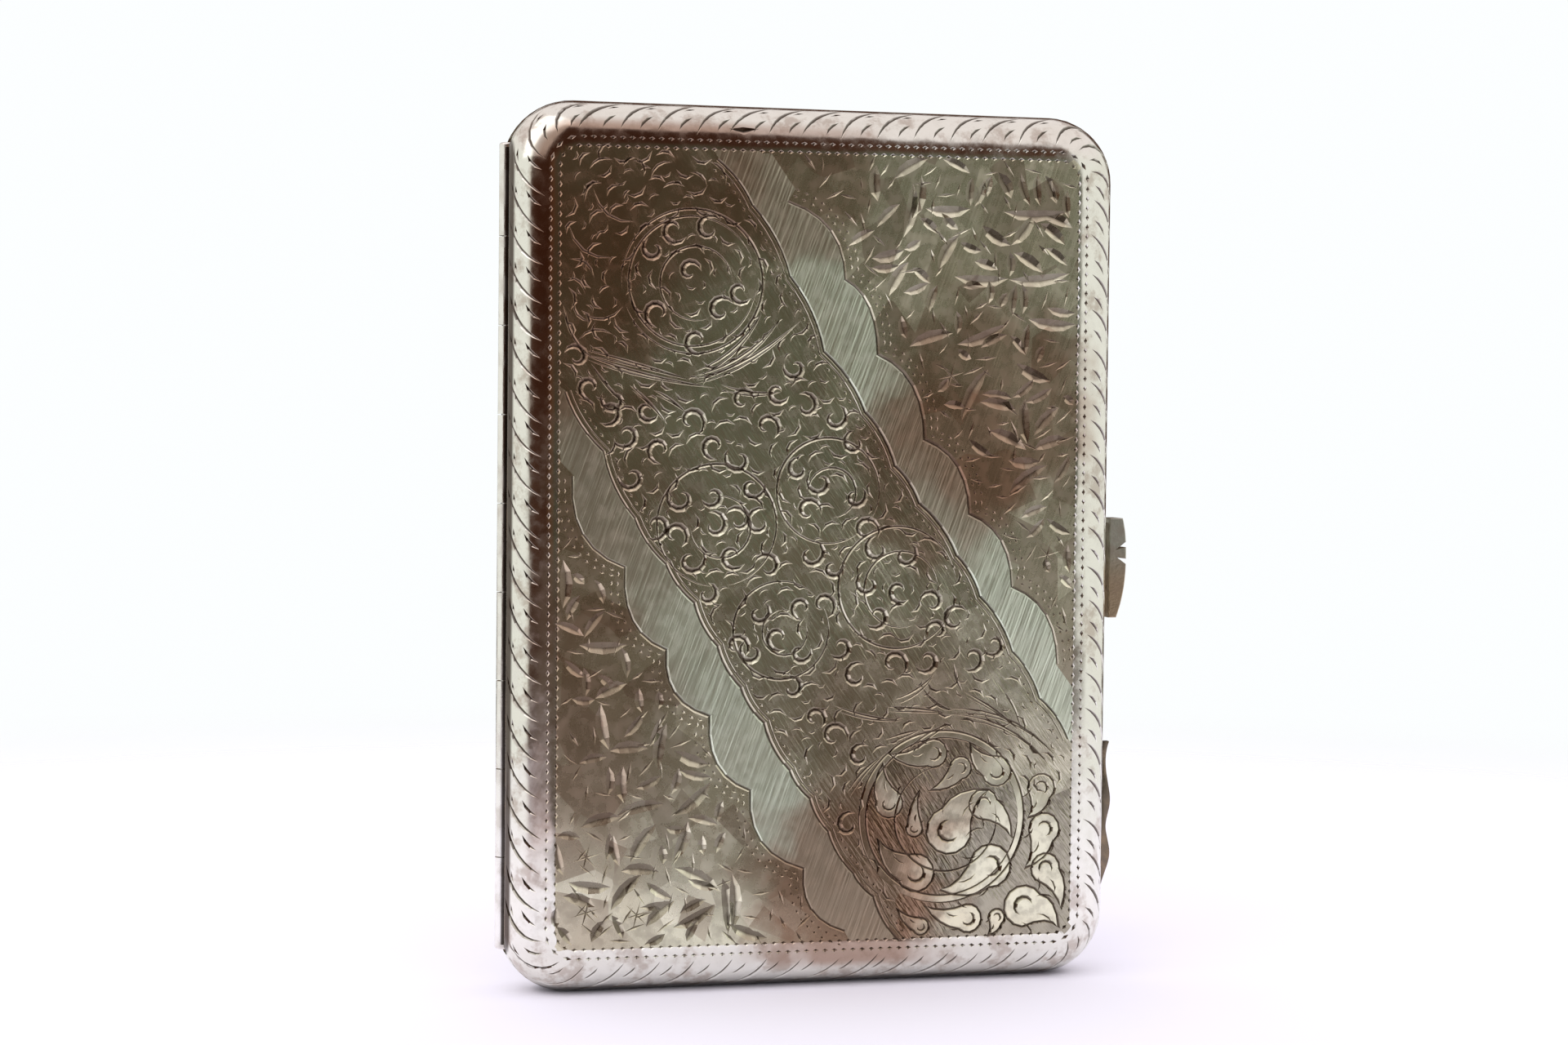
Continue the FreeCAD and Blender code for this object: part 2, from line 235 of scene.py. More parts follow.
def bezier(p0, c, p1, steps):
    return [((1 - t) ** 2 * p0[0] + 2 * t * (1 - t) * c[0] + t * t * p1[0],
             (1 - t) ** 2 * p0[1] + 2 * t * (1 - t) * c[1] + t * t * p1[1])
            for t in (i / steps for i in range(steps + 1))]


def bowed(p0, p1, bow, steps=4):
    """A line between two points that bows to its left by a part of its length."""
    mx, mz = (p0[0] + p1[0]) / 2, (p0[1] + p1[1]) / 2
    dx, dz = p1[0] - p0[0], p1[1] - p0[1]
    return bezier(p0, (mx - dz * bow * 2, mz + dx * bow * 2), p1, steps)


def leaf(p0, p1, width=0.62, bow=0.06, slope=CUT_SLOPE):
    """A short bright cut that swells in the middle."""
    cut(bowed(p0, p1, bow), width, slope=slope)


def ring(x, z, r, width=FINE, start=0.0, sweep=360.0):
    steps = max(8, int(r * math.radians(sweep) / 0.75))
    points = [(x + r * math.cos(math.radians(start + sweep * i / steps)),
               z + r * math.sin(math.radians(start + sweep * i / steps))) for i in range(steps + 1)]
    cut(points, width, ends=(1.0, 1.0) if sweep >= 360 else (0.0, 0.0))


def curl(x, z, r=1.15):
    """A scroll: a crescent that winds in on its own centre."""
    start, hand = rng.uniform(0, 360), rng.choice((-1, 1))
    steps, turn = 11, 330
    points, halves = [], []
    for i in range(steps + 1):
        t = i / steps
        a = math.radians(start + hand * turn * t)
        reach = r * (1.15 - 0.8 * t)
        points.append((x + reach * math.cos(a), z + reach * math.sin(a)))
        halves.append(0.36 * math.sin(math.pi * t ** 0.75) ** 0.8 if 0 < t < 1 else 0.0)
    cuts.append((points, halves, CUT_SLOPE))


def dash(x, z, angle, length=0.55, width=0.3):
    dx, dz = math.cos(angle) * length / 2, math.sin(angle) * length / 2
    cut([(x - dx, z - dz), (x, z), (x + dx, z + dz)], width)


def walk(points, pitch):
    """Evenly spaced places and directions along a line."""
    found = []
    ahead = pitch / 2
    for (x0, z0), (x1, z1) in zip(points, points[1:]):
        length = math.hypot(x1 - x0, z1 - z0)
        while ahead < length:
            t = ahead / length
            found.append((x0 + (x1 - x0) * t, z0 + (z1 - z0) * t, math.atan2(z1 - z0, x1 - x0)))
            ahead += pitch
        ahead -= length
    return found


def beside(points, gap):
    """The line moved to its left by a gap."""
    moved = []
    for i, (x, z) in enumerate(points):
        x0, z0 = points[max(i - 1, 0)]
        x1, z1 = points[min(i + 1, len(points) - 1)]
        length = math.hypot(x1 - x0, z1 - z0)
        moved.append((x - (z1 - z0) / length * gap, z + (x1 - x0) / length * gap))
    return moved


def dotted(points, pitch=1.0, **size):
    for x, z, angle in walk(points, pitch):
        dash(x, z, angle, **size)


def scallops(cusps, bulge):
    """A chain of arcs, each with its control point given by bulge(start, end)."""
    line = [cusps[0]]
    for p0, p1 in zip(cusps, cusps[1:]):
        line += bezier(p0, bulge(p0, p1), p1, 6)[1:]
    return line


# Edges of the scroll band and of the two plain strips beside it, from the top left to the bottom right.
BAND_UPPER = [
    (-11.5, 86), (-7.75, 81.4), (-3.7, 74.2), (0, 66.5), (4.5, 60.3), (7.8, 54.7), (10.5, 50.8),
    (14.7, 45.3), (17.3, 41), (21, 35.1), (24.1, 30.1), (27.3, 25.8),
]
BAND_LOWER = [
    (-27.1, 62), (-23.1, 56), (-19.8, 49.2), (-16.5, 44.5), (-13.5, 40.5), (-11, 36), (-8.5, 31.7),
    (-6, 28), (-3.2, 23), (-1, 20), (1, 16.5), (3.8, 12), (6, 9.5), (8.8, 4.8),
]
STRIP_UPPER = [(-4, 81.9), (2.2, 74), (5.8, 66.3), (11, 57.5), (16, 49.7), (20.8, 42), (26, 33.8)]
STRIP_LOWER = [
    (-26.3, 53.5), (-20.8, 44.2), (-16.4, 35.7), (-11.8, 28.8), (-7.4, 21), (-1.6, 12.7), (2.9, 6.0),
]


def band_bulge(p0, p1, out):
    """Control point of a shallow lobe, out to the left of the line."""
    return (p0[0] + p1[0]) / 2 - (p1[1] - p0[1]) * out, (p0[1] + p1[1]) / 2 + (p1[0] - p0[0]) * out


band_upper = scallops(BAND_UPPER, lambda p, q: band_bulge(p, q, 0.13))
band_lower = scallops(BAND_LOWER, lambda p, q: band_bulge(p, q, -0.13))
strip_upper = scallops(STRIP_UPPER, lambda p, q: (q[0] - 0.1, p[1] - 0.23 * (p[1] - q[1])))
strip_lower = scallops(STRIP_LOWER, lambda p, q: (p[0] - 0.5, q[1] + 0.22 * (p[1] - q[1])))

MEDALLIONS = [
    (-14, 73.5, 7.4, 3.8), (13.4, 17.8, 9.1, 5.6), (-11.2, 48.5, 6.3, 3.2), (0.6, 52.1, 5.5, 2.6),
    (8.2, 42, 6.4, 4.0), (-4.3, 37.6, 5.1, 2.4),
]

CURLS = [
    (-14.3, 74.5), (-18.1, 76.7), (-16, 78.7), (-12.3, 78.9), (-9, 72.5), (-11, 70.6), (-13.5, 67.4),
    (-17.6, 70.2), (-24.6, 62.5), (-22.1, 61.3), (-20.8, 57.7), (-17.3, 56.2), (-14, 59.2), (-11.6, 56.6),
    (-6, 58.7), (-3.1, 64.8), (1.2, 59.7), (3.4, 57.1), (-9, 55.3), (-7.5, 52.4), (-11.7, 51.5),
    (-11.5, 48.5), (-15.0, 51.3), (-15.6, 47.5), (-13.9, 44.9), (-9.0, 49.0), (-9.5, 45.3), (-6.7, 48.8),
    (-0.3, 53), (3.5, 51.5), (-1.5, 50.0), (-2.6, 54.3), (6, 46.0), (9.0, 45.4), (5.0, 42.4), (6.0, 39.0),
    (12.0, 40.4), (8.4, 41.6), (-1.2, 45.5), (1.2, 44.1), (-2.1, 39.9), (-6.7, 39.4), (-9, 36),
    (-7.4, 35.4), (-4.6, 36.8), (-2.2, 35.3), (2.1, 35.8), (3.9, 32.8), (-3.1, 31.6), (7.9, 34.0),
    (11.5, 34.3), (16.5, 34.5), (18.9, 35.9), (1.5, 26.5), (-22.6, 60.0), (-4.9, 62.2), (-18.6, 60.2),
    (12.6, 37.4), (14.6, 38.6), (-0.6, 28.4), (4.4, 24.4), (-5.8, 44.2), (0.2, 40.2), (-12.2, 41.4),
    (-17.6, 48.4), (-20.2, 53.4), (-1.9, 60.9), (4.7, 48.0), (-8.6, 61.4), (-26.0, 65.6), (3.2, 17.2),
]

# Leaves of the lower right medallion and the corner outside it: head, radius, tip of the tail.
SCROLL_LEAVES = [
    (14.2, 16.3, 2.5, 18.6, 20.6), (18.0, 19.0, 1.6, 21.2, 15.4), (10.6, 11.9, 2.0, 6.4, 15.6),
    (18.8, 12.4, 2.3, 13.2, 10.0), (7.6, 19.3, 1.5, 6.9, 23.6), (12.4, 24.5, 1.5, 7.4, 24.6),
    (15.4, 22.9, 1.2, 12.0, 20.6), (19.4, 22.5, 1.6, 16.4, 25.6), (10.4, 16.6, 0.9, 10.9, 20.6),
    (24.4, 20.6, 1.5, 22.9, 17.4), (24.8, 16.2, 1.7, 22.6, 12.0), (25.0, 12.0, 1.6, 26.8, 7.6),
    (22.6, 8.0, 2.2, 26.6, 5.6), (16.4, 6.9, 1.5, 11.6, 8.4), (19.6, 6.9, 0.9, 18.6, 5.0),
    (11.2, 6.2, 0.9, 8.6, 8.2),
]
CORNER_PATCH = 8.5, 20.0  # the dark ground goes on right of this and below this

CORNER_CUTS = [
    ((-25.2, 81), (-23.8, 83.5)), ((-19.8, 79.4), (-24.4, 82.7)), ((-22.1, 75.7), (-27, 79.2)),
    ((-24.6, 69.2), (-26.3, 71.2)), ((-21.2, 70.8), (-25.4, 70)), ((-24, 77.5), (-23.2, 78.4)),
    ((-21.2, 81.7), (-20.6, 82.6)), ((-23.7, 72), (-22.6, 72.8)), ((-21.3, 85), (-20, 85.9)),
    ((-20, 85.9), (-19.2, 84)), ((-18.5, 83.8), (-16.2, 85.6)), ((-24.8, 84.6), (-22.4, 85.6)),
    ((-26.8, 75.5), (-24.2, 73.6)), ((-25.9, 67.2), (-22.2, 67.9)), ((-14.4, 84.6), (-12.6, 83.2)),
    ((-17.2, 82.9), (-14.9, 83.1)), ((-12.4, 85.8), (-10.6, 83.4)), ((-26.9, 73.6), (-25.1, 71.9)),
]

FRONDS = [
    ((-25.5, 66), (-20.5, 63.9), (-11.5, 62.6)), ((-14, 63.5), (-8.5, 64.4), (-2.5, 69.7)),
    ((-13.8, 64.2), (-9.0, 66), (-6.6, 70.6)), ((-11, 63.0), (-7.8, 61.8), (-4.5, 62.3)),
    ((-24.5, 65), (-22.8, 62.4), (-20.8, 60.8)), ((-20.5, 62.8), (-18.4, 61.4), (-16.5, 58.8)),
    ((-18, 62.3), (-16.4, 61.8), (-14.5, 60)), ((-27.4, 71), (-27.0, 67.4), (-24.4, 65.6)),
    ((-13.8, 63.8), (-8.0, 65.2), (-4.6, 70.0)), ((-25.5, 66.4), (-20.0, 65.2), (-14.2, 63.4)),
    ((1.5, 29.7), (5, 28.3), (9, 28)), ((7, 29.5), (10.5, 29.4), (14, 28.7)),
    ((7, 26), (9, 26.8), (11, 27)), ((3, 20.5), (4.4, 23), (7, 24.5)),
    ((9.5, 24.9), (12, 27.2), (14.5, 27.6)), ((11, 31.5), (12.5, 29.5), (14.5, 29)),
    ((14.5, 34.0), (14.6, 32.2), (15.5, 31)), ((15.5, 31), (19.2, 29.4), (22, 26.6)),
    ((20, 31), (21.4, 29.4), (22, 27)), ((14, 28.6), (21.5, 28.4), (26, 22)),
    ((13.4, 29.2), (21.4, 29.6), (26.4, 23.4)), ((8, 30.2), (11, 31.2), (12.4, 33)),
]

LEAVES_UPPER = [
    (5.4, 86, 5.6, 82.2), (7.3, 84.6, 11, 86.8), (12.6, 86.8, 15.6, 85.4), (8.4, 78.5, 9.4, 84.3),
    (9.4, 80.5, 10.3, 85), (15.9, 85, 15.7, 82), (16.1, 81.9, 17.2, 84.8), (17.5, 83, 18, 85.2),
    (21.2, 85.6, 22.3, 82.2), (23.1, 85.7, 23.4, 82.2), (26.4, 84, 26.6, 81), (10.8, 81.6, 15.7, 81.7),
    (19.3, 81.5, 26.5, 81.7), (12.6, 81.2, 14.4, 79.5), (17, 80, 20.2, 78), (20.2, 78, 22.7, 81.4),
    (23.1, 81.4, 27, 80), (12.3, 75.2, 14.5, 79), (14.6, 78.2, 17, 77.3), (20.1, 77.3, 20.1, 74.7),
    (20.5, 77.2, 23.8, 75.2), (24, 77.8, 26.5, 76), (14, 74.6, 20, 74.5), (20, 74.4, 26.8, 75.2),
    (2.5, 77.5, 5.3, 79.2), (5.5, 79.5, 8, 82), (5, 76.3, 8.5, 77.2), (5, 75.3, 8, 75.6),
    (8.5, 77.3, 10.3, 78.3), (6.9, 72.4, 9, 76), (8.5, 72.8, 11.2, 73.9), (11.3, 70.7, 12.2, 73.7),
    (15, 73.5, 17.2, 73.7), (17.8, 71.8, 17.9, 74.2), (19.2, 71.5, 19.9, 73), (20.5, 70.5, 20.9, 74),
    (21.5, 74, 21.6, 70.8), (24.3, 71.5, 27.5, 71), (22.2, 70.3, 27.6, 69.8), (9.2, 67.2, 14, 68.7),
    (14.4, 67.5, 20, 69.8), (17, 67.2, 19.9, 68.6), (20.2, 68.5, 22, 66.5), (22.3, 69.8, 22, 66.5),
    (14.3, 71, 14.4, 68.6), (8.3, 70.4, 8.9, 68), (14.5, 67, 16, 66), (24, 67.5, 23.3, 65.7),
    (21, 65.6, 24.8, 63.8), (20.6, 62, 23, 64), (22, 61.5, 25, 63.1), (15, 59.5, 17.9, 65),
    (17, 61.5, 21, 60.7), (17.2, 62.3, 20.6, 61.9), (12.3, 62.5, 13.5, 64), (13, 61.2, 15.5, 60.8),
    (22, 62, 22.4, 57), (18, 58.5, 22.2, 56.5), (23, 58, 25.8, 61), (23, 56.5, 26.8, 57.7),
    (20.2, 55.4, 23.8, 55.3), (20.3, 51.8, 24.6, 54.9), (25.3, 53, 27, 56), (26.2, 62.2, 27.4, 61.3),
    (21.7, 49.3, 24.6, 50.5), (22.3, 47.2, 24.3, 49.3), (24.5, 49.3, 27.3, 47.6), (15.8, 57.6, 18.5, 55.8),
    (27, 46.5, 27.2, 43.5), (24.5, 45, 25, 43.5), (26, 43.2, 27.5, 41.8),
]

LEAVES_LOWER = [
    (-26.3, 43.5, -25, 42.5), (-24, 43, -23, 40.5), (-27.2, 45, -27.2, 40), (-28, 38.5, -25, 37.2),
    (-25, 37, -22.8, 39.8), (-25.5, 36.3, -20.5, 36.3), (-21.2, 36.1, -20.5, 32.8),
    (-23.8, 30.8, -20.5, 32.3), (-26.2, 30.8, -23.8, 30.7), (-27, 34.8, -24.8, 33), (-25, 34, -24.8, 31),
    (-23.2, 30.3, -22.3, 25.5), (-19.2, 31.8, -18.9, 29.3), (-17.2, 31.5, -17.2, 29.6),
    (-20.8, 26.8, -18.8, 29.3), (-18.1, 25.8, -17, 28.7), (-17.2, 23.3, -16.3, 28.2),
    (-22.3, 25.4, -18.2, 25.6), (-25.4, 24.2, -22.5, 24.8), (-22.3, 23.8, -22.4, 20.8),
    (-20.8, 23.8, -20.7, 20), (-19.5, 21.5, -16.8, 22.8), (-15.8, 20.8, -15, 23.5),
    (-15.5, 25.3, -11.8, 23.8), (-15, 23.3, -11.5, 22.5), (-15.5, 18.6, -11.6, 22),
    (-21.5, 18.7, -16.5, 19.8), (-25.2, 17.6, -21, 18.6), (-27.6, 16.8, -25.2, 16.5),
    (-27.6, 16, -26.9, 12.7), (-22.5, 14.2, -22.2, 17), (-21.8, 16.8, -21.1, 13.5),
    (-20, 13.8, -17.3, 17.8), (-16.8, 15.6, -16.6, 13.6), (-16.3, 17.3, -14.3, 17.2), (-15.5, 14, -14, 18),
    (-14, 18.3, -10.8, 17.5), (-10.9, 17.8, -10.3, 20), (-12.4, 16.5, -12.3, 14.5), (-11, 14.6, -10, 16.8),
    (-26.5, 12, -22, 11.4), (-21, 13, -17, 12.8), (-22, 9, -18.8, 12.6), (-21.9, 8.5, -20.7, 6),
    (-18.3, 11.8, -15.5, 10), (-15.4, 13.2, -10.5, 10.6), (-14, 12, -10.7, 11), (-19, 9.2, -15.5, 9.8),
    (-18.3, 7.2, -15.3, 9.8), (-15.5, 7, -11, 9.3), (-18.5, 5.3, -16.3, 6.4), (-10.3, 12, -9.8, 6.5),
    (-9.3, 12.5, -9.2, 6.5), (-27.6, 7.5, -26, 5.5), (-27.6, 9.5, -27.6, 7.3), (-9.5, 7.2, -5.5, 5.6),
    (-12.8, 7.7, -14, 5.5),
]

# Broad shallow flats: two ends and a width.
FLATS = [
    (18.7, 85.6, 20.2, 82.9, 1.3), (23.9, 85.4, 25.2, 82.5, 1.35), (23.4, 80.4, 26.2, 78.2, 1.25),
    (10.2, 80.6, 12.2, 79.0, 1.0), (9.4, 75.4, 11.4, 73.8, 1.0), (16.2, 76.2, 18.8, 75.4, 1.1),
    (-27.0, 10.6, -23.6, 9.4, 1.3), (-24.0, 5.8, -22.6, 8.0, 1.1), (-20.4, 10.6, -18.9, 12.6, 1.0),
    (-26.8, 38.8, -25.4, 41.4, 1.0), (-23.6, 33.2, -21.6, 31.4, 1.0), (-14.8, 8.4, -12.0, 9.8, 1.0),
]

STARS = [(13.8, 64.2), (24.7, 45.4), (-24.6, 14.5), (-24.6, 8.8), (-19.3, 8.4)]


def scroll_leaf(x, z, r, tip_x, tip_z):
    """Outline of a leaf with a round head and a tail that curves to its tip."""
    back = math.atan2(tip_z - z, tip_x - x)
    neck = 1.1  # half the angle at which the tail leaves the head
    head = [(x + r * math.cos(back + a), z + r * math.sin(back + a))
            for a in np.linspace(neck, 2 * math.pi - neck, 10)]
    bend = (-math.sin(back) * r * 0.7, math.cos(back) * r * 0.7)

    def side(p0, p1):
        return bezier(p0, ((p0[0] + p1[0]) / 2 + bend[0], (p0[1] + p1[1]) / 2 + bend[1]), p1, 4)

    return head + side(head[-1], (tip_x, tip_z))[1:] + side((tip_x, tip_z), head[0])[1:]


scroll_leaves = [scroll_leaf(*place) for place in SCROLL_LEAVES]


def in_corner(x, z):
    """True in the lower right medallion, and in the corner of the field outside it."""
    mx, mz, r, _ = MEDALLIONS[1]
    in_patch = x > CORNER_PATCH[0] and z < CORNER_PATCH[1] and in_band(x, z, 1.0)
    return in_patch or math.hypot(x - mx, z - mz) < r


def in_band(x, z, margin=0.0):
    """True inside the scroll band, at least a margin from its two edges."""
    return height_over(band_lower, x, z) > margin and height_over(band_upper, x, z) < -margin


def height_over(line, x, z):
    """How far above a falling line a point is. Beyond the line's ends it carries on steeply."""
    xs, zs = [p[0] for p in line], [p[1] for p in line]
    steep = 1.6
    if x < xs[0]:
        return z - (zs[0] + (xs[0] - x) * steep)
    if x > xs[-1]:
        return z - (zs[-1] - (x - xs[-1]) * steep)
    return z - float(np.interp(x, xs, zs))


def scattered(count, apart, allowed, taken):
    """Random places in the field that keep their distance from each other and from those taken."""
    edge_x, low, high = 26.8, 5.4, 86.4
    found = []
    for _ in range(count):
        x, z = rng.uniform(-edge_x, edge_x), rng.uniform(low, high)
        if allowed(x, z) and all(math.hypot(x - u, z - v) > apart for u, v in taken):
            taken.append((x, z))
            found.append((x, z))
    return found


def fill_band():
    """Small strokes that fill the ground between the scrolls, bending round the nearest medallion."""
    taken = list(CURLS)
    for apart, half_length, width in ((1.75, 1.1, 0.42), (1.15, 0.6, 0.26)):
        for x, z in scattered(4200, apart, lambda x, z: in_band(x, z, 2.4) and not in_corner(x, z), taken):
            centre = min(MEDALLIONS, key=lambda m: math.hypot(x - m[0], z - m[1]) - m[2])
            around = math.atan2(z - centre[1], x - centre[0]) + math.pi / 2 + rng.uniform(-0.5, 0.5)
            reach = half_length * rng.uniform(0.75, 1.1)
            dx, dz = reach * math.cos(around), reach * math.sin(around)
            cut(bowed((x - dx, z - dz), (x + dx, z + dz), rng.choice((-0.28, 0.28)), 3), width)


def in_leaf_ground(x, z):
    return height_over(strip_upper, x, z) > 3.2 or height_over(strip_lower, x, z) < -3.2


def fill_leaf_grounds():
    """Short ticks between the leaf cuts."""
    taken = [((x0 + x1) / 2, (z0 + z1) / 2) for x0, z0, x1, z1 in LEAVES_UPPER + LEAVES_LOWER]
    for x, z in scattered(2500, 1.3, in_leaf_ground, taken):
        angle, reach = rng.uniform(0, math.pi), rng.uniform(0.7, 1.3)
        dash(x, z, angle, 2 * reach, rng.uniform(0.26, 0.42))


def engrave_field():
    for line, inward in ((band_upper, -1), (band_lower, 1)):
        cut(line, BOLD, ends=(0.7, 0.7))
        cut(beside(line, inward * 0.55), FINE, ends=(0.7, 0.7))
        dotted(beside(line, inward * 1.05))
    for line, outward in ((strip_upper, 1), (strip_lower, -1)):
        cut(line, BOLD, ends=(0.7, 0.7))
        dotted(beside(line, outward * 0.8))
        dotted(beside(line, outward * 1.5))
    for i, (x, z, r, inner) in enumerate(MEDALLIONS):
        ring(x, z, r, 0.4, start=200 + 40 * i, sweep=350)
        if i < 2:
            ring(x, z, r - RING_GAP, LINE, start=20, sweep=350)
        ring(x + 0.4, z - 0.2, inner, LINE, start=90 * i, sweep=290)
    for outline, (x, z, r, tip_x, tip_z) in zip(scroll_leaves, SCROLL_LEAVES):
        cut(outline, 0.34, ends=(1.0, 1.0))
        toward = math.degrees(math.atan2(tip_z - z, tip_x - x))
        ring(x, z, r * 0.45, 0.2 * r + 0.12, start=toward + 40, sweep=240)
        reach = r * 0.75
        for aside in (-70, 0, 70):
            a = math.radians(toward + aside)
            b = math.radians(toward + aside * 0.3)
            root = x + reach * math.cos(a), z + reach * math.sin(a)
            cut(bowed(root, (root[0] + r * math.cos(b), root[1] + r * math.sin(b)), 0.15, 3), FINE)
    for x, z in CURLS:
        curl(x, z, r=rng.uniform(1.05, 1.4))
    fill_band()
    fill_leaf_grounds()
    for p0, p1 in CORNER_CUTS:
        leaf(p0, p1, width=LINE, bow=0.22)
    for p0, middle, p1 in FRONDS:
        cut(bezier(p0, middle, p1, 7), LINE)
        low = (p0[0] + 0.25, p0[1] - 0.5), (middle[0] + 0.2, middle[1] - 0.45), p1
        cut(bezier(*low, 7), FINE)
    for x0, z0, x1, z1 in LEAVES_UPPER + LEAVES_LOWER:
        long_cut = math.hypot(x1 - x0, z1 - z0) > 3.6
        leaf((x0, z0), (x1, z1), width=1.3 if long_cut else 0.95, bow=rng.choice((-0.07, 0.07)), slope=0.5)
    for x0, z0, x1, z1, width in FLATS:
        leaf((x0, z0), (x1, z1), width, slope=0.5)
    for x, z in STARS:
        for k in range(3):
            dash(x, z, math.radians(60 * k + 15), 3.2, FINE)


def engrave_rim():
    """Two dotted rows round the field, and a chain of slanting leaf cuts round the edge."""
    dots = int(RIM_LENGTH / 1.0)
    for d in (ROW_GAP, 0.0):
        for i in range(dots):
            s = (i + 0.5 * (d > 0)) * RIM_LENGTH / dots
            x0, z0 = round_rim(s - 0.34, d)
            x1, z1 = round_rim(s + 0.34, d)
            cut([(x0, z0), ((x0 + x1) / 2, (z0 + z1) / 2), (x1, z1)], 0.42)
    for i in range(RIM_LEAVES):
        s = i * MID_LENGTH / RIM_LEAVES + rng.uniform(-0.25, 0.25)
        reach = rng.uniform(4.6, 5.4)
        sweep = bezier((s, rng.uniform(5.6, 6.1)), (s + 3.3, 5.0), (s + reach, rng.uniform(1.4, 1.8)), 7)
        cut([along_rim(*p) for p in sweep], rng.uniform(0.34, 0.5))
        vein = bezier((s + 1.0, 3.6), (s + 2.1, 3.1), (s + 2.6, 1.9), 3)
        cut([along_rim(*p) for p in vein], 0.36)
        cut([along_rim(s + 0.5, 5.0), along_rim(s + 1.1, 4.95), along_rim(s + 1.8, 4.6)], 0.32)
    top = HEIGHT - CORNER_R + FIELD_R
    cut([(-10.2, top + 2.3), (-8.7, top + 2.1), (-7.0, top + 2.4)], 0.9, slope=0.4)  # a small dent
    steps = 200
    border = [along_rim(i * MID_LENGTH / steps, RIM_BORDER) for i in range(steps + 1)]
    cut(border, LINE, ends=(1.0, 1.0))


engrave_rim()
engrave_field()


# --- engraved shells ----------------------------------------------------------------------------------
def depth_at(points, flip):
    """Depth of the deepest cut at each point of the sheet, and how near that is to the bottom of the V."""
    p = np.array(points)
    p[:, 0] *= flip
    depth = np.zeros(len(p))
    share = np.zeros(len(p))
    order = np.argsort(p[:, 0])
    xs = p[order, 0]
    for line, halves, slope in cuts:
        a = np.array(line)
        h = np.array(halves)
        widest = h.max()
        i0, i1 = np.searchsorted(xs, (a[:, 0].min() - widest, a[:, 0].max() + widest))
        near = order[i0:i1]
        q = p[near]
        inside = (q[:, 1] > a[:, 1].min() - widest) & (q[:, 1] < a[:, 1].max() + widest)
        near, q = near[inside], q[inside]
        for k in range(len(a) - 1):
            run = a[k + 1] - a[k]
            t = np.clip(((q - a[k]) @ run) / max(run @ run, 1e-12), 0, 1)
            gap = np.hypot(*(q - a[k] - t[:, None] * run).T)
            half = h[k] + (h[k + 1] - h[k]) * t
            depth[near] = np.maximum(depth[near], (half - gap) * slope)
            share[near] = np.maximum(share[near], 1 - gap / np.maximum(half, 1e-6))
    depth[(depth < SHALLOW) | (share < STROKE_SHARE)] = 0
    share[depth == 0] = 0
    return depth, share


def inside_loops(points, a, b):
    """Even-odd test of points against edges from a to b."""
    result = np.zeros(len(points), bool)
    px, pz = points[:, 0], points[:, 1]
    for (x0, z0), (x1, z1) in zip(a, b):
        if z0 == z1:
            continue
        crossing = (z0 > pz) != (z1 > pz)
        at = x0 + (pz - z0) / (z1 - z0) * (x1 - x0)
        result ^= crossing & (px < at)
    return result


def distance_to_edges(points, a, b):
    nearest = np.full(len(points), np.inf)
    for p, q in zip(a, b):
        run = q - p
        t = np.clip(((points - p) @ run) / max(run @ run, 1e-12), 0, 1)
        nearest = np.minimum(nearest, np.hypot(*(points - p - t[:, None] * run).T))
    return nearest


def sheet_lines():
    """The facet rows round the edge, as open or closed lines on the sheet."""
    lines = []
    steps = int(RIM_LENGTH / STRAIGHT_STEP)
    stations = [i * RIM_LENGTH / steps for i in range(steps)]
    start = 0.0
    for length in (ACROSS, UP) * 2:
        start += length
        stations += [start + QUARTER * i / CORNER_STEPS for i in range(CORNER_STEPS + 1)]
        start += QUARTER
    stations = sorted(s % RIM_LENGTH for s in stations)
    following = stations[1:] + [stations[0] + RIM_LENGTH]
    kept = [s for s, after in zip(stations, following) if after - s > 0.05]
    for k in range(RINGS + 1):
        lines.append([round_rim(s, ROUND_LENGTH * k / RINGS) for s in kept + kept[:1]])
    return lines


# Parts of the engraving: the plain strips, the band, the ground of the leaf cuts, all outside the field,
# and in the lower right corner the dark ground and the bright leaves on it.
STRIP, SCROLL_GROUND, LEAF_GROUND, RIM, DARK_GROUND, BRIGHT = range(6)

leaf_outlines = [np.array(outline) for outline in scroll_leaves]


def region_of(x, z):
    """Which part of the engraving a point of the sheet is in."""
    if abs(x) > CORE_X + FIELD_R or not CORNER_R - FIELD_R < z < HEIGHT - CORNER_R + FIELD_R:
        return RIM
    if in_corner(x, z):
        here = np.array([(x, z)])
        for outline in leaf_outlines:
            near = (abs(outline - here).min(axis=0) < 3.5).all()
            if near and inside_loops(here, outline, np.roll(outline, -1, 0))[0]:
                return BRIGHT
        mx, mz, r, _ = MEDALLIONS[1]
        return BRIGHT if r - RING_GAP < math.hypot(x - mx, z - mz) < r else DARK_GROUND
    if in_band(x, z):
        return SCROLL_GROUND
    if height_over(strip_upper, x, z) > 0 or height_over(strip_lower, x, z) < 0:
        return LEAF_GROUND
    return STRIP


KEPT, PLAIN, GROOVE = range(3)  # facets of the CAD shell, of its new skin, and of the cuts in that
OUTSIDE, INSIDE, CHANNEL = range(3)  # the shell's materials
SEAM_LIP = 0.14  # the lip of each shell lies nearer to the seam than this


def clear_of_edges(points, a, b):
    """True for points inside the edges from a to b and not too near them."""
    return inside_loops(points, a, b) & (distance_to_edges(points, a, b) > STEP_OVER)


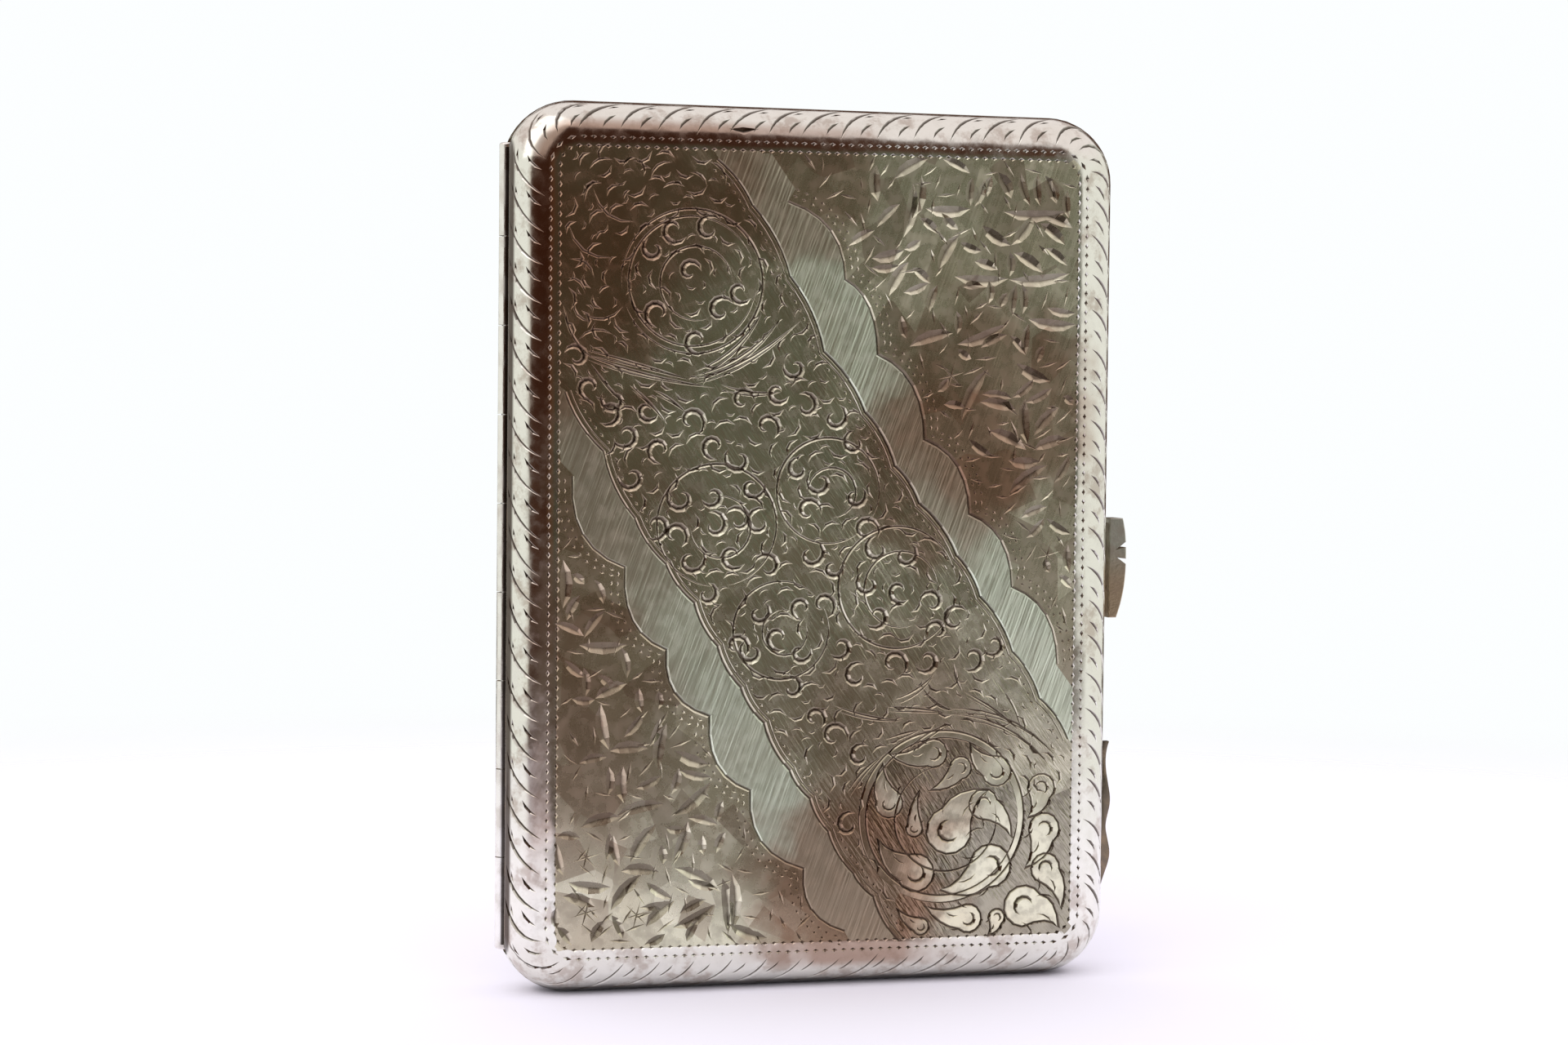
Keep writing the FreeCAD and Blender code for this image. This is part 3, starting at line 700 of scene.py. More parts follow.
def add_rows(flat, edges, a, b):
    """Adds the facet rows round the edge to the points and edges of the sheet."""
    for line in sheet_lines():
        points = np.array(line)
        good = clear_of_edges(points, a, b)
        good_mid = clear_of_edges((points[:-1] + points[1:]) / 2, a, b)
        place = {}
        for i in range(len(line) - 1):
            if good[i] and good[i + 1] and good_mid[i]:
                for j in (i, i + 1):
                    if j not in place:
                        place[j] = len(flat)
                        flat.append(tuple(line[j]))
                edges.append((place[i], place[i + 1]))


def unit(rows):
    return rows / np.maximum(np.hypot(*rows.T), 1e-9)[:, None]


def add_strokes(flat, edges, a, b, flip):
    """Adds the middle line and the two borders of each cut, mitred where it bends."""
    points, chains = [], []
    for line, halves, _ in cuts:
        middle = np.array([(x * flip, z) for x, z in line])
        ahead = unit(np.vstack([middle[1:], middle[-1:]]) - np.vstack([middle[:1], middle[:-1]]))
        left = np.stack([-ahead[:, 1], ahead[:, 0]], 1)
        along = unit(np.diff(middle, axis=0))
        mitre = np.maximum((np.vstack([along, along[-1:]]) * ahead).sum(axis=1), 0.7)
        reach = left * (np.array(halves) / mitre)[:, None]
        for chain in (middle, middle + reach, middle - reach):
            chains.append((len(points), len(chain)))
            points += [tuple(p) for p in chain]
    allowed = clear_of_edges(np.array(points), a, b)
    base = len(flat)
    flat += points
    for first, count in chains:
        for i in range(first, first + count - 1):
            if allowed[i] and allowed[i + 1] and points[i] != points[i + 1]:
                edges.append((base + i, base + i + 1))


def kept_material(f):
    """Gilt inside, and near-black painted shade in the channel beside the hinge."""
    centre = f.calc_center_median()
    if abs(centre.y) <= SEAM_LIP:
        return OUTSIDE
    if centre.x < hinge_x + 1.3 and f.normal.x < -0.1:
        return CHANNEL
    return INSIDE if from_core(centre.x, centre.z)[2] < CORNER_R - 0.6 else OUTSIDE


def set_normals(mesh, exact):
    """Exact normals on the plain skin, and flat facets in the cuts."""
    corner_normals = [Vector(c.vector) for c in mesh.corner_normals]
    kind = [d.value for d in mesh.attributes["skin"].data]
    for poly in mesh.polygons:
        for i in poly.loop_indices:
            if kind[poly.index] == PLAIN:
                corner_normals[i] = exact[mesh.loops[i].vertex_index]
            elif kind[poly.index] == GROOVE:
                corner_normals[i] = poly.normal.copy()
    mesh.normals_split_custom_set(corner_normals)


def engraved_shell(node, name, side, body):
    """The CAD shell with its outer skin replaced by an engraved one."""
    flip = -side
    bm = bmesh.new()
    bm.from_mesh(frame["nodes"][node].data)
    tarnish_and_shade_layer = bm.loops.layers.float.new("cut")
    region_layer = bm.faces.layers.float.new("region")
    skin_layer = bm.faces.layers.int.new("skin")
    bmesh.ops.scale(bm, vec=(1 / MM,) * 3, verts=bm.verts)
    bmesh.ops.remove_doubles(bm, verts=bm.verts, dist=1e-4)
    bm.normal_update()
    outside = [f for f in bm.faces if on_outside(f.calc_center_median(), f.normal, side)]
    bmesh.ops.delete(bm, geom=outside, context="FACES")

    # the new skin, flat on the sheet, inside the border of the old one
    border = [e for e in bm.edges if e.is_boundary]
    border_verts = list(dict.fromkeys(v for e in border for v in e.verts))
    index = {v: i for i, v in enumerate(border_verts)}
    flat = [unroll(v.co, side) for v in border_verts]
    edges = [(index[e.verts[0]], index[e.verts[1]]) for e in border]
    a, b = (np.array([flat[edge[k]] for edge in edges]) for k in (0, 1))
    add_rows(flat, edges, a, b)
    add_strokes(flat, edges, a, b, flip)
    found, _, triangles, origin, _, _ = delaunay_2d_cdt([Vector(p) for p in flat], edges, [], 0, 1e-5, True)
    sheet = np.array([(p.x, p.y) for p in found])
    tri = np.array(triangles)
    tri = tri[inside_loops(sheet[tri].mean(axis=1), a, b)]
    middles = sheet[tri].mean(axis=1)
    on_border = {i: border_verts[k] for i, sources in enumerate(origin)
                 for k in sources if k < len(border_verts)}
    depth, share = depth_at(sheet, flip)
    depth[list(on_border)] = share[list(on_border)] = 0
    in_cut = depth_at(middles, flip)[0] > 0

    # rolled back into the shell's shape, with the cuts pressed in
    verts, normals, share_of = {}, {}, {}
    for i in np.unique(tri):
        place, normal = roll(*sheet[i], side)
        v = on_border.get(i) or bm.verts.new(place - normal * depth[i])
        verts[i], normals[v], share_of[v] = v, normal, float(share[i])
    for t, centre, engraved in zip(tri, middles, in_cut):
        corners = [verts[i] for i in t]
        if side > 0:
            corners.reverse()
        f = bm.faces.new(corners)
        f.normal_update()
        if f.normal.dot(normals[corners[0]]) < 0:
            f.normal_flip()
        region = region_of(centre[0] * flip, centre[1])
        f[region_layer] = region
        f[skin_layer] = GROOVE if engraved else PLAIN
        if engraved:
            # The side of a cut that faces away from the light gets painted shade; the bottom of the V is dark with
            # tarnish.
            lean = f.normal - normals[corners[0]]
            shaded = lean.x * flip * LIT_SIDE[0] + lean.z * LIT_SIDE[1] < 0
            painted_shade, most = (SHADED_LEAF, LEAF_BOTTOM) if region == LEAF_GROUND else (SHADED_SIDE, 1.0)
            for loop in f.loops:
                loop[tarnish_and_shade_layer] = max(share_of[loop.vert] * most, painted_shade if shaded else 0.0)

    for f in bm.faces:
        f.smooth = True
        if f[skin_layer] == KEPT:
            f.material_index = kept_material(f)
    bm.normal_update()
    for e in bm.edges:
        e.smooth = not e.is_manifold or e.calc_face_angle(0) < math.radians(SMOOTH_BELOW)
    bm.verts.index_update()
    exact = {v.index: normal for v, normal in normals.items()}
    bmesh.ops.scale(bm, vec=(MM,) * 3, verts=bm.verts)
    obj = mesh_object(bm, name)
    set_normals(obj.data, exact)
    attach(obj, body)
    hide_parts(node)
    return obj


# Brown stains on the front, and at (3.5, 10.5) a dark patch low on the strip that is a painted reflection: place,
# radius and strength.
STAINS_AND_REFLECTION = [
    (-27.0, 85.0, 20.0, 0.75), (-29.5, 70.0, 12.0, 0.6), (-30.0, 50.0, 14.0, 0.5), (-29.5, 28.0, 13.0, 0.45),
    (3.5, 10.5, 7.5, 0.72), (-4.0, 85.5, 6.0, 0.5), (18.0, 61.0, 9.0, 0.6), (12.5, 54.0, 6.0, 0.5),
    (8.0, 27.0, 8.0, 0.35),
]
STAIN_AND_REFLECTION_SPOTS = [((x * MM, -face_y * MM, z * MM), r * MM, amount) for x, z, r, amount in STAINS_AND_REFLECTION]


# --- materials ----------------------------------------------------------------------------------------
class Nodes:
    """A small helper for building one node tree."""

    def __init__(self, tree):
        self.tree = tree

    def node(self, kind, inputs=None, **settings):
        n = self.tree.nodes.new(kind)
        for key, value in settings.items():
            setattr(n, key, value)
        for key, value in (inputs or {}).items():
            self.set(n.inputs[key], value)
        return n

    def set(self, socket, value):
        if isinstance(value, bpy.types.NodeSocket):
            self.tree.links.new(value, socket)
        else:
            socket.default_value = value

    def math(self, operation, a, b=0.5, c=0.0):
        return self.node("ShaderNodeMath", {0: a, 1: b, 2: c}, operation=operation).outputs[0]

    def times(self, a, b):
        return self.math("MULTIPLY", a, b)

    def scaled(self, value, by, plus):
        return self.math("MULTIPLY_ADD", value, by, plus)

    def remap(self, value, low, high, to_low=0.0, to_high=1.0):
        ends = {"Value": value, "From Min": low, "From Max": high, "To Min": to_low, "To Max": to_high}
        return self.node("ShaderNodeMapRange", ends, interpolation_type="SMOOTHSTEP").outputs[0]

    def mix(self, factor, a, b):
        n = self.node("ShaderNodeMix", data_type="RGBA")
        self.set(n.inputs["Factor"], factor)
        self.set(n.inputs["A"], a)
        self.set(n.inputs["B"], b)
        return n.outputs["Result"]

    def over(self, colour, place, amount, tint):
        """A tint laid over a colour in some places."""
        return self.mix(self.times(place, amount), colour, rgb(*tint))


class Paint(Nodes):
    """A node material."""

    def __init__(self, name):
        self.mat = bpy.data.materials.new(name)
        self.mat.use_nodes = True
        super().__init__(self.mat.node_tree)
        self.shader = self.tree.nodes["Principled BSDF"]

    def where(self):
        return self.node("ShaderNodeTexCoord").outputs["Object"]

    def axes(self):
        return self.node("ShaderNodeSeparateXYZ", {0: self.where()}).outputs

    def place(self, size=(1, 1, 1), turn=(0, 0, 0)):
        return self.node("ShaderNodeMapping", {"Vector": self.where(), "Scale": size, "Rotation": turn},
                         vector_type="TEXTURE").outputs[0]

    def noise(self, size_mm, detail=3.0, stretch=(1, 1, 1), turn=(0, 0, 0), rough=0.55):
        size = tuple(size_mm * MM / s for s in stretch)
        settings = {"Vector": self.place(size, turn), "Scale": 1.0, "Detail": detail, "Roughness": rough}
        return self.node("ShaderNodeTexNoise", settings).outputs["Fac"]

    def value(self, name):
        return self.node("ShaderNodeAttribute", attribute_name=name).outputs["Fac"]

    def bump(self, height, distance_mm, strength=1.0, normal=None):
        settings = {"Height": height, "Distance": distance_mm * MM, "Strength": strength}
        n = self.node("ShaderNodeBump", settings)
        if normal is not None:
            self.set(n.inputs["Normal"], normal)
        return n.outputs[0]

    def finish(self, colour, roughness, normal=None, metallic=1.0):
        self.set(self.shader.inputs["Base Color"], colour)
        self.set(self.shader.inputs["Roughness"], roughness)
        self.set(self.shader.inputs["Metallic"], metallic)
        if normal is not None:
            self.set(self.shader.inputs["Normal"], normal)
        return self.mat


def rgb(r, g, b):
    return (r, g, b, 1.0)


def engraved_silver():
    p = Paint("silver_engraved")
    cut_tarnish_and_shade = p.value("cut")
    region = p.value("region")
    strip, scroll_ground, leaf_ground, rim, dark_ground = (
        p.math("COMPARE", region, float(k), 0.3) for k in (STRIP, SCROLL_GROUND, LEAF_GROUND, RIM, DARK_GROUND))
    blotches = p.remap(p.noise(13.0, 3.0), 0.45, 0.68)
    fine_stain = p.remap(p.noise(1.3, 4.0), 0.42, 0.7)
    rim_stain = p.times(p.remap(p.noise(3.0, 4.0, rough=0.65), 0.5, 0.66), rim)
    field = p.math("SUBTRACT", 1.0, p.scaled(rim, 0.75, p.times(strip, 0.6)))
    colour = p.mix(field, rgb(0.89, 0.885, 0.85), rgb(0.80, 0.79, 0.60))
    colour = p.mix(strip, colour, rgb(0.87, 0.96, 0.78))
    colour = p.over(colour, p.times(blotches, 0.28), field, (0.70, 0.54, 0.36))
    colour = p.over(colour, p.times(fine_stain, 0.4), field, (0.42, 0.39, 0.32))
    hatch = p.noise(0.42, 2.0, stretch=(1, 1, 0.05), turn=(0, math.radians(20), 0))
    scratched = p.times(strip, p.remap(hatch, 0.5, 0.34))
    colour = p.over(colour, scratched, 0.15, (0.30, 0.29, 0.22))
    colour = p.over(colour, scroll_ground, 0.3, (0.50, 0.48, 0.40))
    colour = p.over(colour, dark_ground, 0.62, (0.19, 0.155, 0.13))
    cells = p.node("ShaderNodeTexVoronoi", {"Vector": p.place((4.2 * MM,) * 3), "Scale": 1.0})
    tone = p.node("ShaderNodeSeparateXYZ", {0: cells.outputs["Color"]}).outputs["X"]
    patchy = p.scaled(scroll_ground, 0.45, leaf_ground)
    colour = p.over(colour, patchy, p.remap(tone, 0.45, 0.85, 0.0, 0.5), (0.40, 0.31, 0.23))
    colour = p.over(colour, patchy, p.remap(tone, 0.4, 0.15, 0.0, 0.75), (0.97, 0.94, 0.74))
    where, axes = p.where(), p.axes()
    flatter = p.remap(axes["Y"], -0.78 * face_y * MM, -0.93 * face_y * MM)
    # Brown stains, and one painted dark reflection low on the strip.
    for spot, radius, amount in STAIN_AND_REFLECTION_SPOTS:
        gap = p.node("ShaderNodeVectorMath", {0: where, 1: spot}, operation="DISTANCE").outputs["Value"]
        uneven = p.scaled(p.noise(5.0, 3.0), -0.012, gap)
        near = p.times(p.remap(uneven, radius, radius * 0.2), flatter)
        colour = p.over(colour, near, amount, (0.33, 0.17, 0.10))
    colour = p.over(colour, rim_stain, 0.5, (0.34, 0.24, 0.18))
    # Dark in the cuts: tarnish at the bottom of each V, and painted shade on the side of a cut that faces away
    # from the light; heavier in the lower right.
    low_right = p.times(p.remap(axes["Z"], 0.024, 0.014), p.remap(axes["X"], -0.004, 0.006))
    thick = p.times(p.remap(cut_tarnish_and_shade, 0.15, 0.75), low_right)
    tarnish_and_shade = p.math("MAXIMUM", p.remap(cut_tarnish_and_shade, 0.35, 0.95), p.times(thick, 0.85))
    # Painted shade in a strip of the shell beside the hinge, stopping short of the top and bottom ends.
    by_hinge = p.remap(axes["X"], (hinge_x + 0.32) * MM, (hinge_x + 0.08) * MM)
    ends = p.remap(p.math("ABSOLUTE", p.math("SUBTRACT", axes["Z"], HEIGHT / 2 * MM)), 0.0422, 0.0415)
    tarnish_and_shade = p.math("MAXIMUM", tarnish_and_shade, p.times(by_hinge, ends))
    # Painted contact shadow along the bottom edge of each shell.
    contact_shadow = p.remap(p.scaled(p.noise(4.0), 0.0004, axes["Z"]), 0.0014, 0.0007)
    tarnish_and_shade = p.math("MAXIMUM", tarnish_and_shade, contact_shadow)
    colour = p.over(colour, tarnish_and_shade, 0.92, (0.06, 0.038, 0.026))
    rough = p.scaled(fine_stain, 0.12, 0.13)
    rough = p.scaled(scroll_ground, 0.06, rough)
    rough = p.scaled(strip, 0.22, rough)
    rough = p.scaled(leaf_ground, 0.12, rough)
    waves = p.bump(p.noise(10.0, 1.5), 0.3)
    ground = p.scaled(leaf_ground, 0.1, p.scaled(strip, 0.95, 0.05))
    normal = p.bump(p.times(hatch, ground), 0.07, 1.0, waves)
    lining = p.noise(0.34, 2.0, stretch=(1, 1, 0.12), turn=(0, math.radians(-35), 0))
    lined = p.scaled(dark_ground, 2.0, scroll_ground)
    normal = p.bump(p.times(lining, lined), 0.04, 1.0, normal)
    return p.finish(colour, rough, normal)


def worn_silver(name, stain=0.35, tone=(0.90, 0.88, 0.84), channel=False):
    """Silver with brown patches. On the knuckles the side in the channel is painted black as shade."""
    p = Paint(name)
    patches = p.remap(p.noise(2.2, 4.0), 0.4, 0.75)
    colour = p.over(rgb(*tone), patches, stain, (0.34, 0.25, 0.17))
    if channel:
        # Painted shade: black on the knuckles' side in the hinge channel.
        painted_shade = p.remap(p.axes()["X"], (hinge_x - 0.5) * MM, (hinge_x - 0.28) * MM)
        colour = p.over(colour, painted_shade, 0.95, (0.03, 0.022, 0.016))
    scratches = p.noise(0.12, 2.0, stretch=(1, 1, 0.1))
    return p.finish(colour, p.scaled(patches, 0.2, 0.2), p.bump(scratches, 0.01))


def gilt():
    p = Paint("silver_gilt")
    wear = p.remap(p.noise(5.0, 4.0), 0.45, 0.72)
    colour = p.over(rgb(0.88, 0.66, 0.33), wear, 0.4, (0.83, 0.76, 0.62))
    rough = p.scaled(p.noise(0.5, 3.0), 0.18, 0.2)
    satin = p.noise(0.09, 2.0, stretch=(1, 1, 0.2))
    return p.finish(colour, rough, p.bump(satin, 0.008))


def drawn_steel():
    p = Paint("steel_wire")
    lines = p.noise(0.05, 2.0, stretch=(1, 1, 0.02))
    colour = p.mix(p.remap(p.noise(1.5, 3.0), 0.45, 0.75), rgb(0.56, 0.55, 0.53), rgb(0.36, 0.31, 0.27))
    return p.finish(colour, p.scaled(lines, 0.15, 0.22), p.bump(lines, 0.004))


def rolled_nickel():
    p = Paint("nickel_silver_strip")
    lines = p.noise(0.08, 3.0, stretch=(1, 1, 0.03))
    colour = p.mix(p.remap(p.noise(2.5, 3.0), 0.4, 0.75), rgb(0.70, 0.66, 0.57), rgb(0.55, 0.48, 0.37))
    return p.finish(colour, p.scaled(lines, 0.16, 0.2), p.bump(lines, 0.006))


ENGRAVED = engraved_silver()
KNUCKLE = worn_silver("silver_knuckle", tone=(0.90, 0.89, 0.84), channel=True)
SLOT_MATERIALS = {"silver": worn_silver("silver_plain"), "gilt": gilt(), "steel": drawn_steel(),
                  "nickel_silver": rolled_nickel()}
# Near black: painted shade in the channel beside the hinge.
CHANNEL_SHADE_SILVER = worn_silver("silver_channel_painted_shade", stain=0.95, tone=(0.10, 0.075, 0.055))
# Near black: painted shade on the lift tab, which sits in shadow.
TAB_SHADE_SILVER = worn_silver("silver_tab_painted_shade", stain=0.8, tone=(0.16, 0.13, 0.10))


# --- pieces -------------------------------------------------------------------------------------------
for node, side, body in (("front_cover", -1, "front_case"), ("back_cover", 1, "back_case")):
    shell = engraved_shell(node, node.replace("cover", "shell"), side, body)
    for material in (ENGRAVED, SLOT_MATERIALS["gilt"], CHANNEL_SHADE_SILVER):  # as OUTSIDE, INSIDE, CHANNEL
        shell.data.materials.append(material)


def new_piece(bm, name, material):
    obj = mesh_object(bm, name)
    obj.data.materials.append(material)
    return obj


def smooth_by_angle(bm, degrees=32):
    bm.normal_update()
    for f in bm.faces:
        f.smooth = True
        f.material_index = 0
    for e in bm.edges:
        e.smooth = e.is_manifold and e.calc_face_angle(0) < math.radians(degrees)


def drawn_in(points, gap):
    """A closed outline moved inwards by a gap. The outline runs anticlockwise."""
    moved = []
    n = len(points)
    for i, (x, z) in enumerate(points):
        before, after = Vector(points[i - 1]), Vector(points[(i + 1) % n])
        here = Vector((x, z))
        u, v = (here - before).normalized(), (after - here).normalized()
        across = Vector((-u.y - v.y, u.x + v.x))
        across = across.normalized() if across.length > 0.2 else Vector((-v.x, -v.y))
        moved.append((x + across.x * gap, z + across.y * gap))
    return moved


def thumbpiece():
    """A bar with a swelling outer face and two cuts that run in from it and nearly meet."""
    low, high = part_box("thumbpiece")
    length, thick = high.z - low.z, high.x - low.x
    foot, crown = 0.45 * thick, 0.78 * thick
    crest_t, steps, half, chamfer = 0.63, 40, 0.026, 0.12 * MM
    notches = {0.565: 0.612, 0.735: 0.688}  # where each cut starts, and where it ends inside

    def out(t):
        fall, span = (foot, crest_t) if t < crest_t else (crown, 1 - crest_t)
        return thick - (thick - fall) * abs((t - crest_t) / span) ** 2.4

    outer = [(t, out(t)) for t in (i / steps for i in range(steps + 1))
             if all(abs(t - n) > half + 0.008 for n in notches)]
    for start, end in notches.items():
        outer += [(start - half, out(start - half)), (start, 0.0), (start + half, out(start + half))]
    outer.sort()
    outline = [(0.0, length), (0.0, 0.0)]
    for t, x in outer:
        outline.append((x, t * length) if x > 0 else (0.42 * thick, notches[t] * length))
    inner = drawn_in(outline, chamfer)
    bm = bmesh.new()
    levels = ((inner, low.y), (outline, low.y + chamfer), (outline, high.y - chamfer), (inner, high.y))
    loops = [[bm.verts.new((low.x + x, y, low.z + z)) for x, z in line] for line, y in levels]
    n = len(outline)
    for a, b in zip(loops, loops[1:]):
        for i in range(n):
            bm.faces.new((a[i], a[(i + 1) % n], b[(i + 1) % n], b[i]))
    for t in tessellate_polygon([[Vector((x, z, 0)) for x, z in inner]]):
        for loop in (loops[0], loops[-1]):
            bm.faces.new([loop[i] for i in t])
    bmesh.ops.recalc_face_normals(bm, faces=bm.faces)
    smooth_by_angle(bm, 24)
    return new_piece(bm, "thumbpiece_carved", THUMB_SILVER)


def thumb_silver():
    """Browner towards the bottom, greener towards the top."""
    p = Paint("silver_thumbpiece")
    low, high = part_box("thumbpiece")
    height = p.axes()["Z"]
    lower = p.remap(height, high.z - 0.002, low.z + 0.003)
    stain = p.remap(p.noise(1.1, 4.0), 0.35, 0.7)
    colour = p.mix(lower, rgb(0.50, 0.50, 0.43), rgb(0.50, 0.38, 0.26))
    colour = p.over(colour, stain, 0.5, (0.22, 0.17, 0.12))
    return p.finish(colour, p.scaled(stain, 0.2, 0.28), p.bump(p.noise(0.25, 3.0), 0.02))


THUMB_SILVER = thumb_silver()


def welded(node):
    """A copy of a CAD node whose facets share their corners."""
    bm = bmesh.new()
    bm.from_mesh(frame["nodes"][node].data)
    bmesh.ops.remove_doubles(bm, verts=bm.verts, dist=1e-7)
    return bm


def softened(node, name, material, bevel_mm):
    """A copy of a CAD node with its sharp edges broken."""
    bm = welded(node)
    bmesh.ops.dissolve_limit(bm, angle_limit=math.radians(2), verts=bm.verts, edges=bm.edges)
    bm.normal_update()
    sharp = [e for e in bm.edges if e.is_manifold and e.calc_face_angle(0) > math.radians(40)]
    bmesh.ops.bevel(bm, geom=sharp, offset=bevel_mm * MM, segments=2, profile=0.5, affect="EDGES",
                    clamp_overlap=True)
    smooth_by_angle(bm)
    return new_piece(bm, name, material)


def banded(node, name, material, axis, cuts_at):
    """A copy of a CAD node with extra edge loops across it."""
    bm = welded(node)
    for at in cuts_at:
        where = Vector([at if i == axis else 0 for i in range(3)])
        across = Vector([1 if i == axis else 0 for i in range(3)])
        geom = bm.verts[:] + bm.edges[:] + bm.faces[:]
        bmesh.ops.bisect_plane(bm, geom=geom, dist=1e-7, plane_co=where, plane_no=across)
    smooth_by_angle(bm)
    return new_piece(bm, name, material)


thumb = thumbpiece()
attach(thumb, "thumb_catch")
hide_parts("thumbpiece")

tab = softened("lift_tab", "lift_tab_leaf", TAB_SHADE_SILVER, 0.12)
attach(tab, "back_case")
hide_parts("lift_tab")

rivet_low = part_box("spring_rivet_lower")[0].z
stem_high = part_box("thumb_stem")[1].z
stations = np.linspace(stem_high, rivet_low, 22)
strip_slot = "nickel_silver"
strip = banded("latch_spring", "latch_spring_strip", SLOT_MATERIALS[strip_slot], 2, stations)
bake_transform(strip)
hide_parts("latch_spring")

_, wire_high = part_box("retainer_wire")
for end in ("lower", "upper"):
    node = "retainer_spring_" + end
    low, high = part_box(node)
    leg = wire_high.x + 0.0006
    leg_end = leg + 0.0012
    coil = banded(node, node + "_coil", SLOT_MATERIALS["steel"], 0, np.linspace(leg, leg_end, 8))
    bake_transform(coil)
    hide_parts(node)

slots = {s["node"]: s["material_slot"] for s in frame["record"]["subparts"]}
for node, obj in frame["nodes"].items():
    obj.data.materials.clear()
    obj.data.materials.append(KNUCKLE if "knuckle" in node else SLOT_MATERIALS[slots[node]])


# --- floor, light and camera --------------------------------------------------------------------------
def disc(name, radius, z, rings, spokes=96):
    bm = bmesh.new()
    middle = bm.verts.new((0, 0, z))
    last = None
    turns = [2 * math.pi * i / spokes for i in range(spokes)]
    for k in range(1, rings + 1):
        r = radius * (k / rings) ** 2
        row = [bm.verts.new((r * math.cos(a), r * math.sin(a), z)) for a in turns]
        for i in range(spokes):
            j = (i + 1) % spokes
            bm.faces.new((last[i], row[i], row[j], last[j]) if last else (middle, row[i], row[j]))
        last = row
    obj = mesh_object(bm, name)
    return obj


def floor_paint():
    """A pale matt ground that fades into the white backdrop."""
    p = Paint("floor_pale")
    p.shader.inputs["Specular IOR Level"].default_value = 0.0
    tone = p.remap(p.noise(90.0, 2.0), 0.3, 0.7)
    p.finish(p.mix(tone, rgb(0.90, 0.87, 0.955), rgb(0.92, 0.895, 0.965)), 0.9, metallic=0.0)
    out = p.node("ShaderNodeVectorMath", {0: p.where()}, operation="LENGTH").outputs["Value"]
    fade = p.remap(out, 0.07, 0.30)
    clear = p.node("ShaderNodeBsdfTransparent").outputs[0]
    both = p.node("ShaderNodeMixShader", {0: fade, 1: p.shader.outputs[0], 2: clear}).outputs[0]
    p.set(p.tree.nodes["Material Output"].inputs["Surface"], both)
    return p.mat


floor = disc("floor", 1.0, cad_low.z, 12)
floor.data.materials.append(floor_paint())


def dark_room():
    p = Paint("room_reflection")
    shade = p.remap(p.noise(60.0, 2.0), 0.35, 0.65)
    return p.finish(p.mix(shade, rgb(0.075, 0.068, 0.052), rgb(0.12, 0.085, 0.05)), 0.9, metallic=0.0)


def reflected_panel(name, side, material):
    """A dark sheet on the floor that only mirrors see: the room in front of the case, or behind it.
    Its near edge bows away from the case to either side."""
    steps, half_width, near, far, cap = 48, 0.35, 0.012, 0.8, 0.2
    middle, bow_left, bow_right = -0.017 * side, 2.4, 4.4
    bm = bmesh.new()
    rows = []
    for j in range(steps + 1):
        row = []
        for i in range(steps + 1):
            x = half_width * (2 * i / steps - 1)
            aside = (x - middle) * -side
            start = min(near + max(bow_right * aside, -bow_left * aside), cap)
            row.append(bm.verts.new((x, side * (start + (far - start) * j / steps), cad_low.z + 0.0005)))
        rows.append(row)
    for j in range(steps):
        for i in range(steps):
            bm.faces.new((rows[j][i], rows[j][i + 1], rows[j + 1][i + 1], rows[j + 1][i]))
    obj = mesh_object(bm, name)
    obj.data.materials.append(material)
    obj.visible_camera = obj.visible_diffuse = obj.visible_shadow = False


room = dark_room()
reflected_panel("room_front", -1, room)
reflected_panel("room_back", 1, room)


ROOM_MIDDLE = 0.185, 0.952, 0.242  # direction of the dim room's middle: to the left, ahead and up


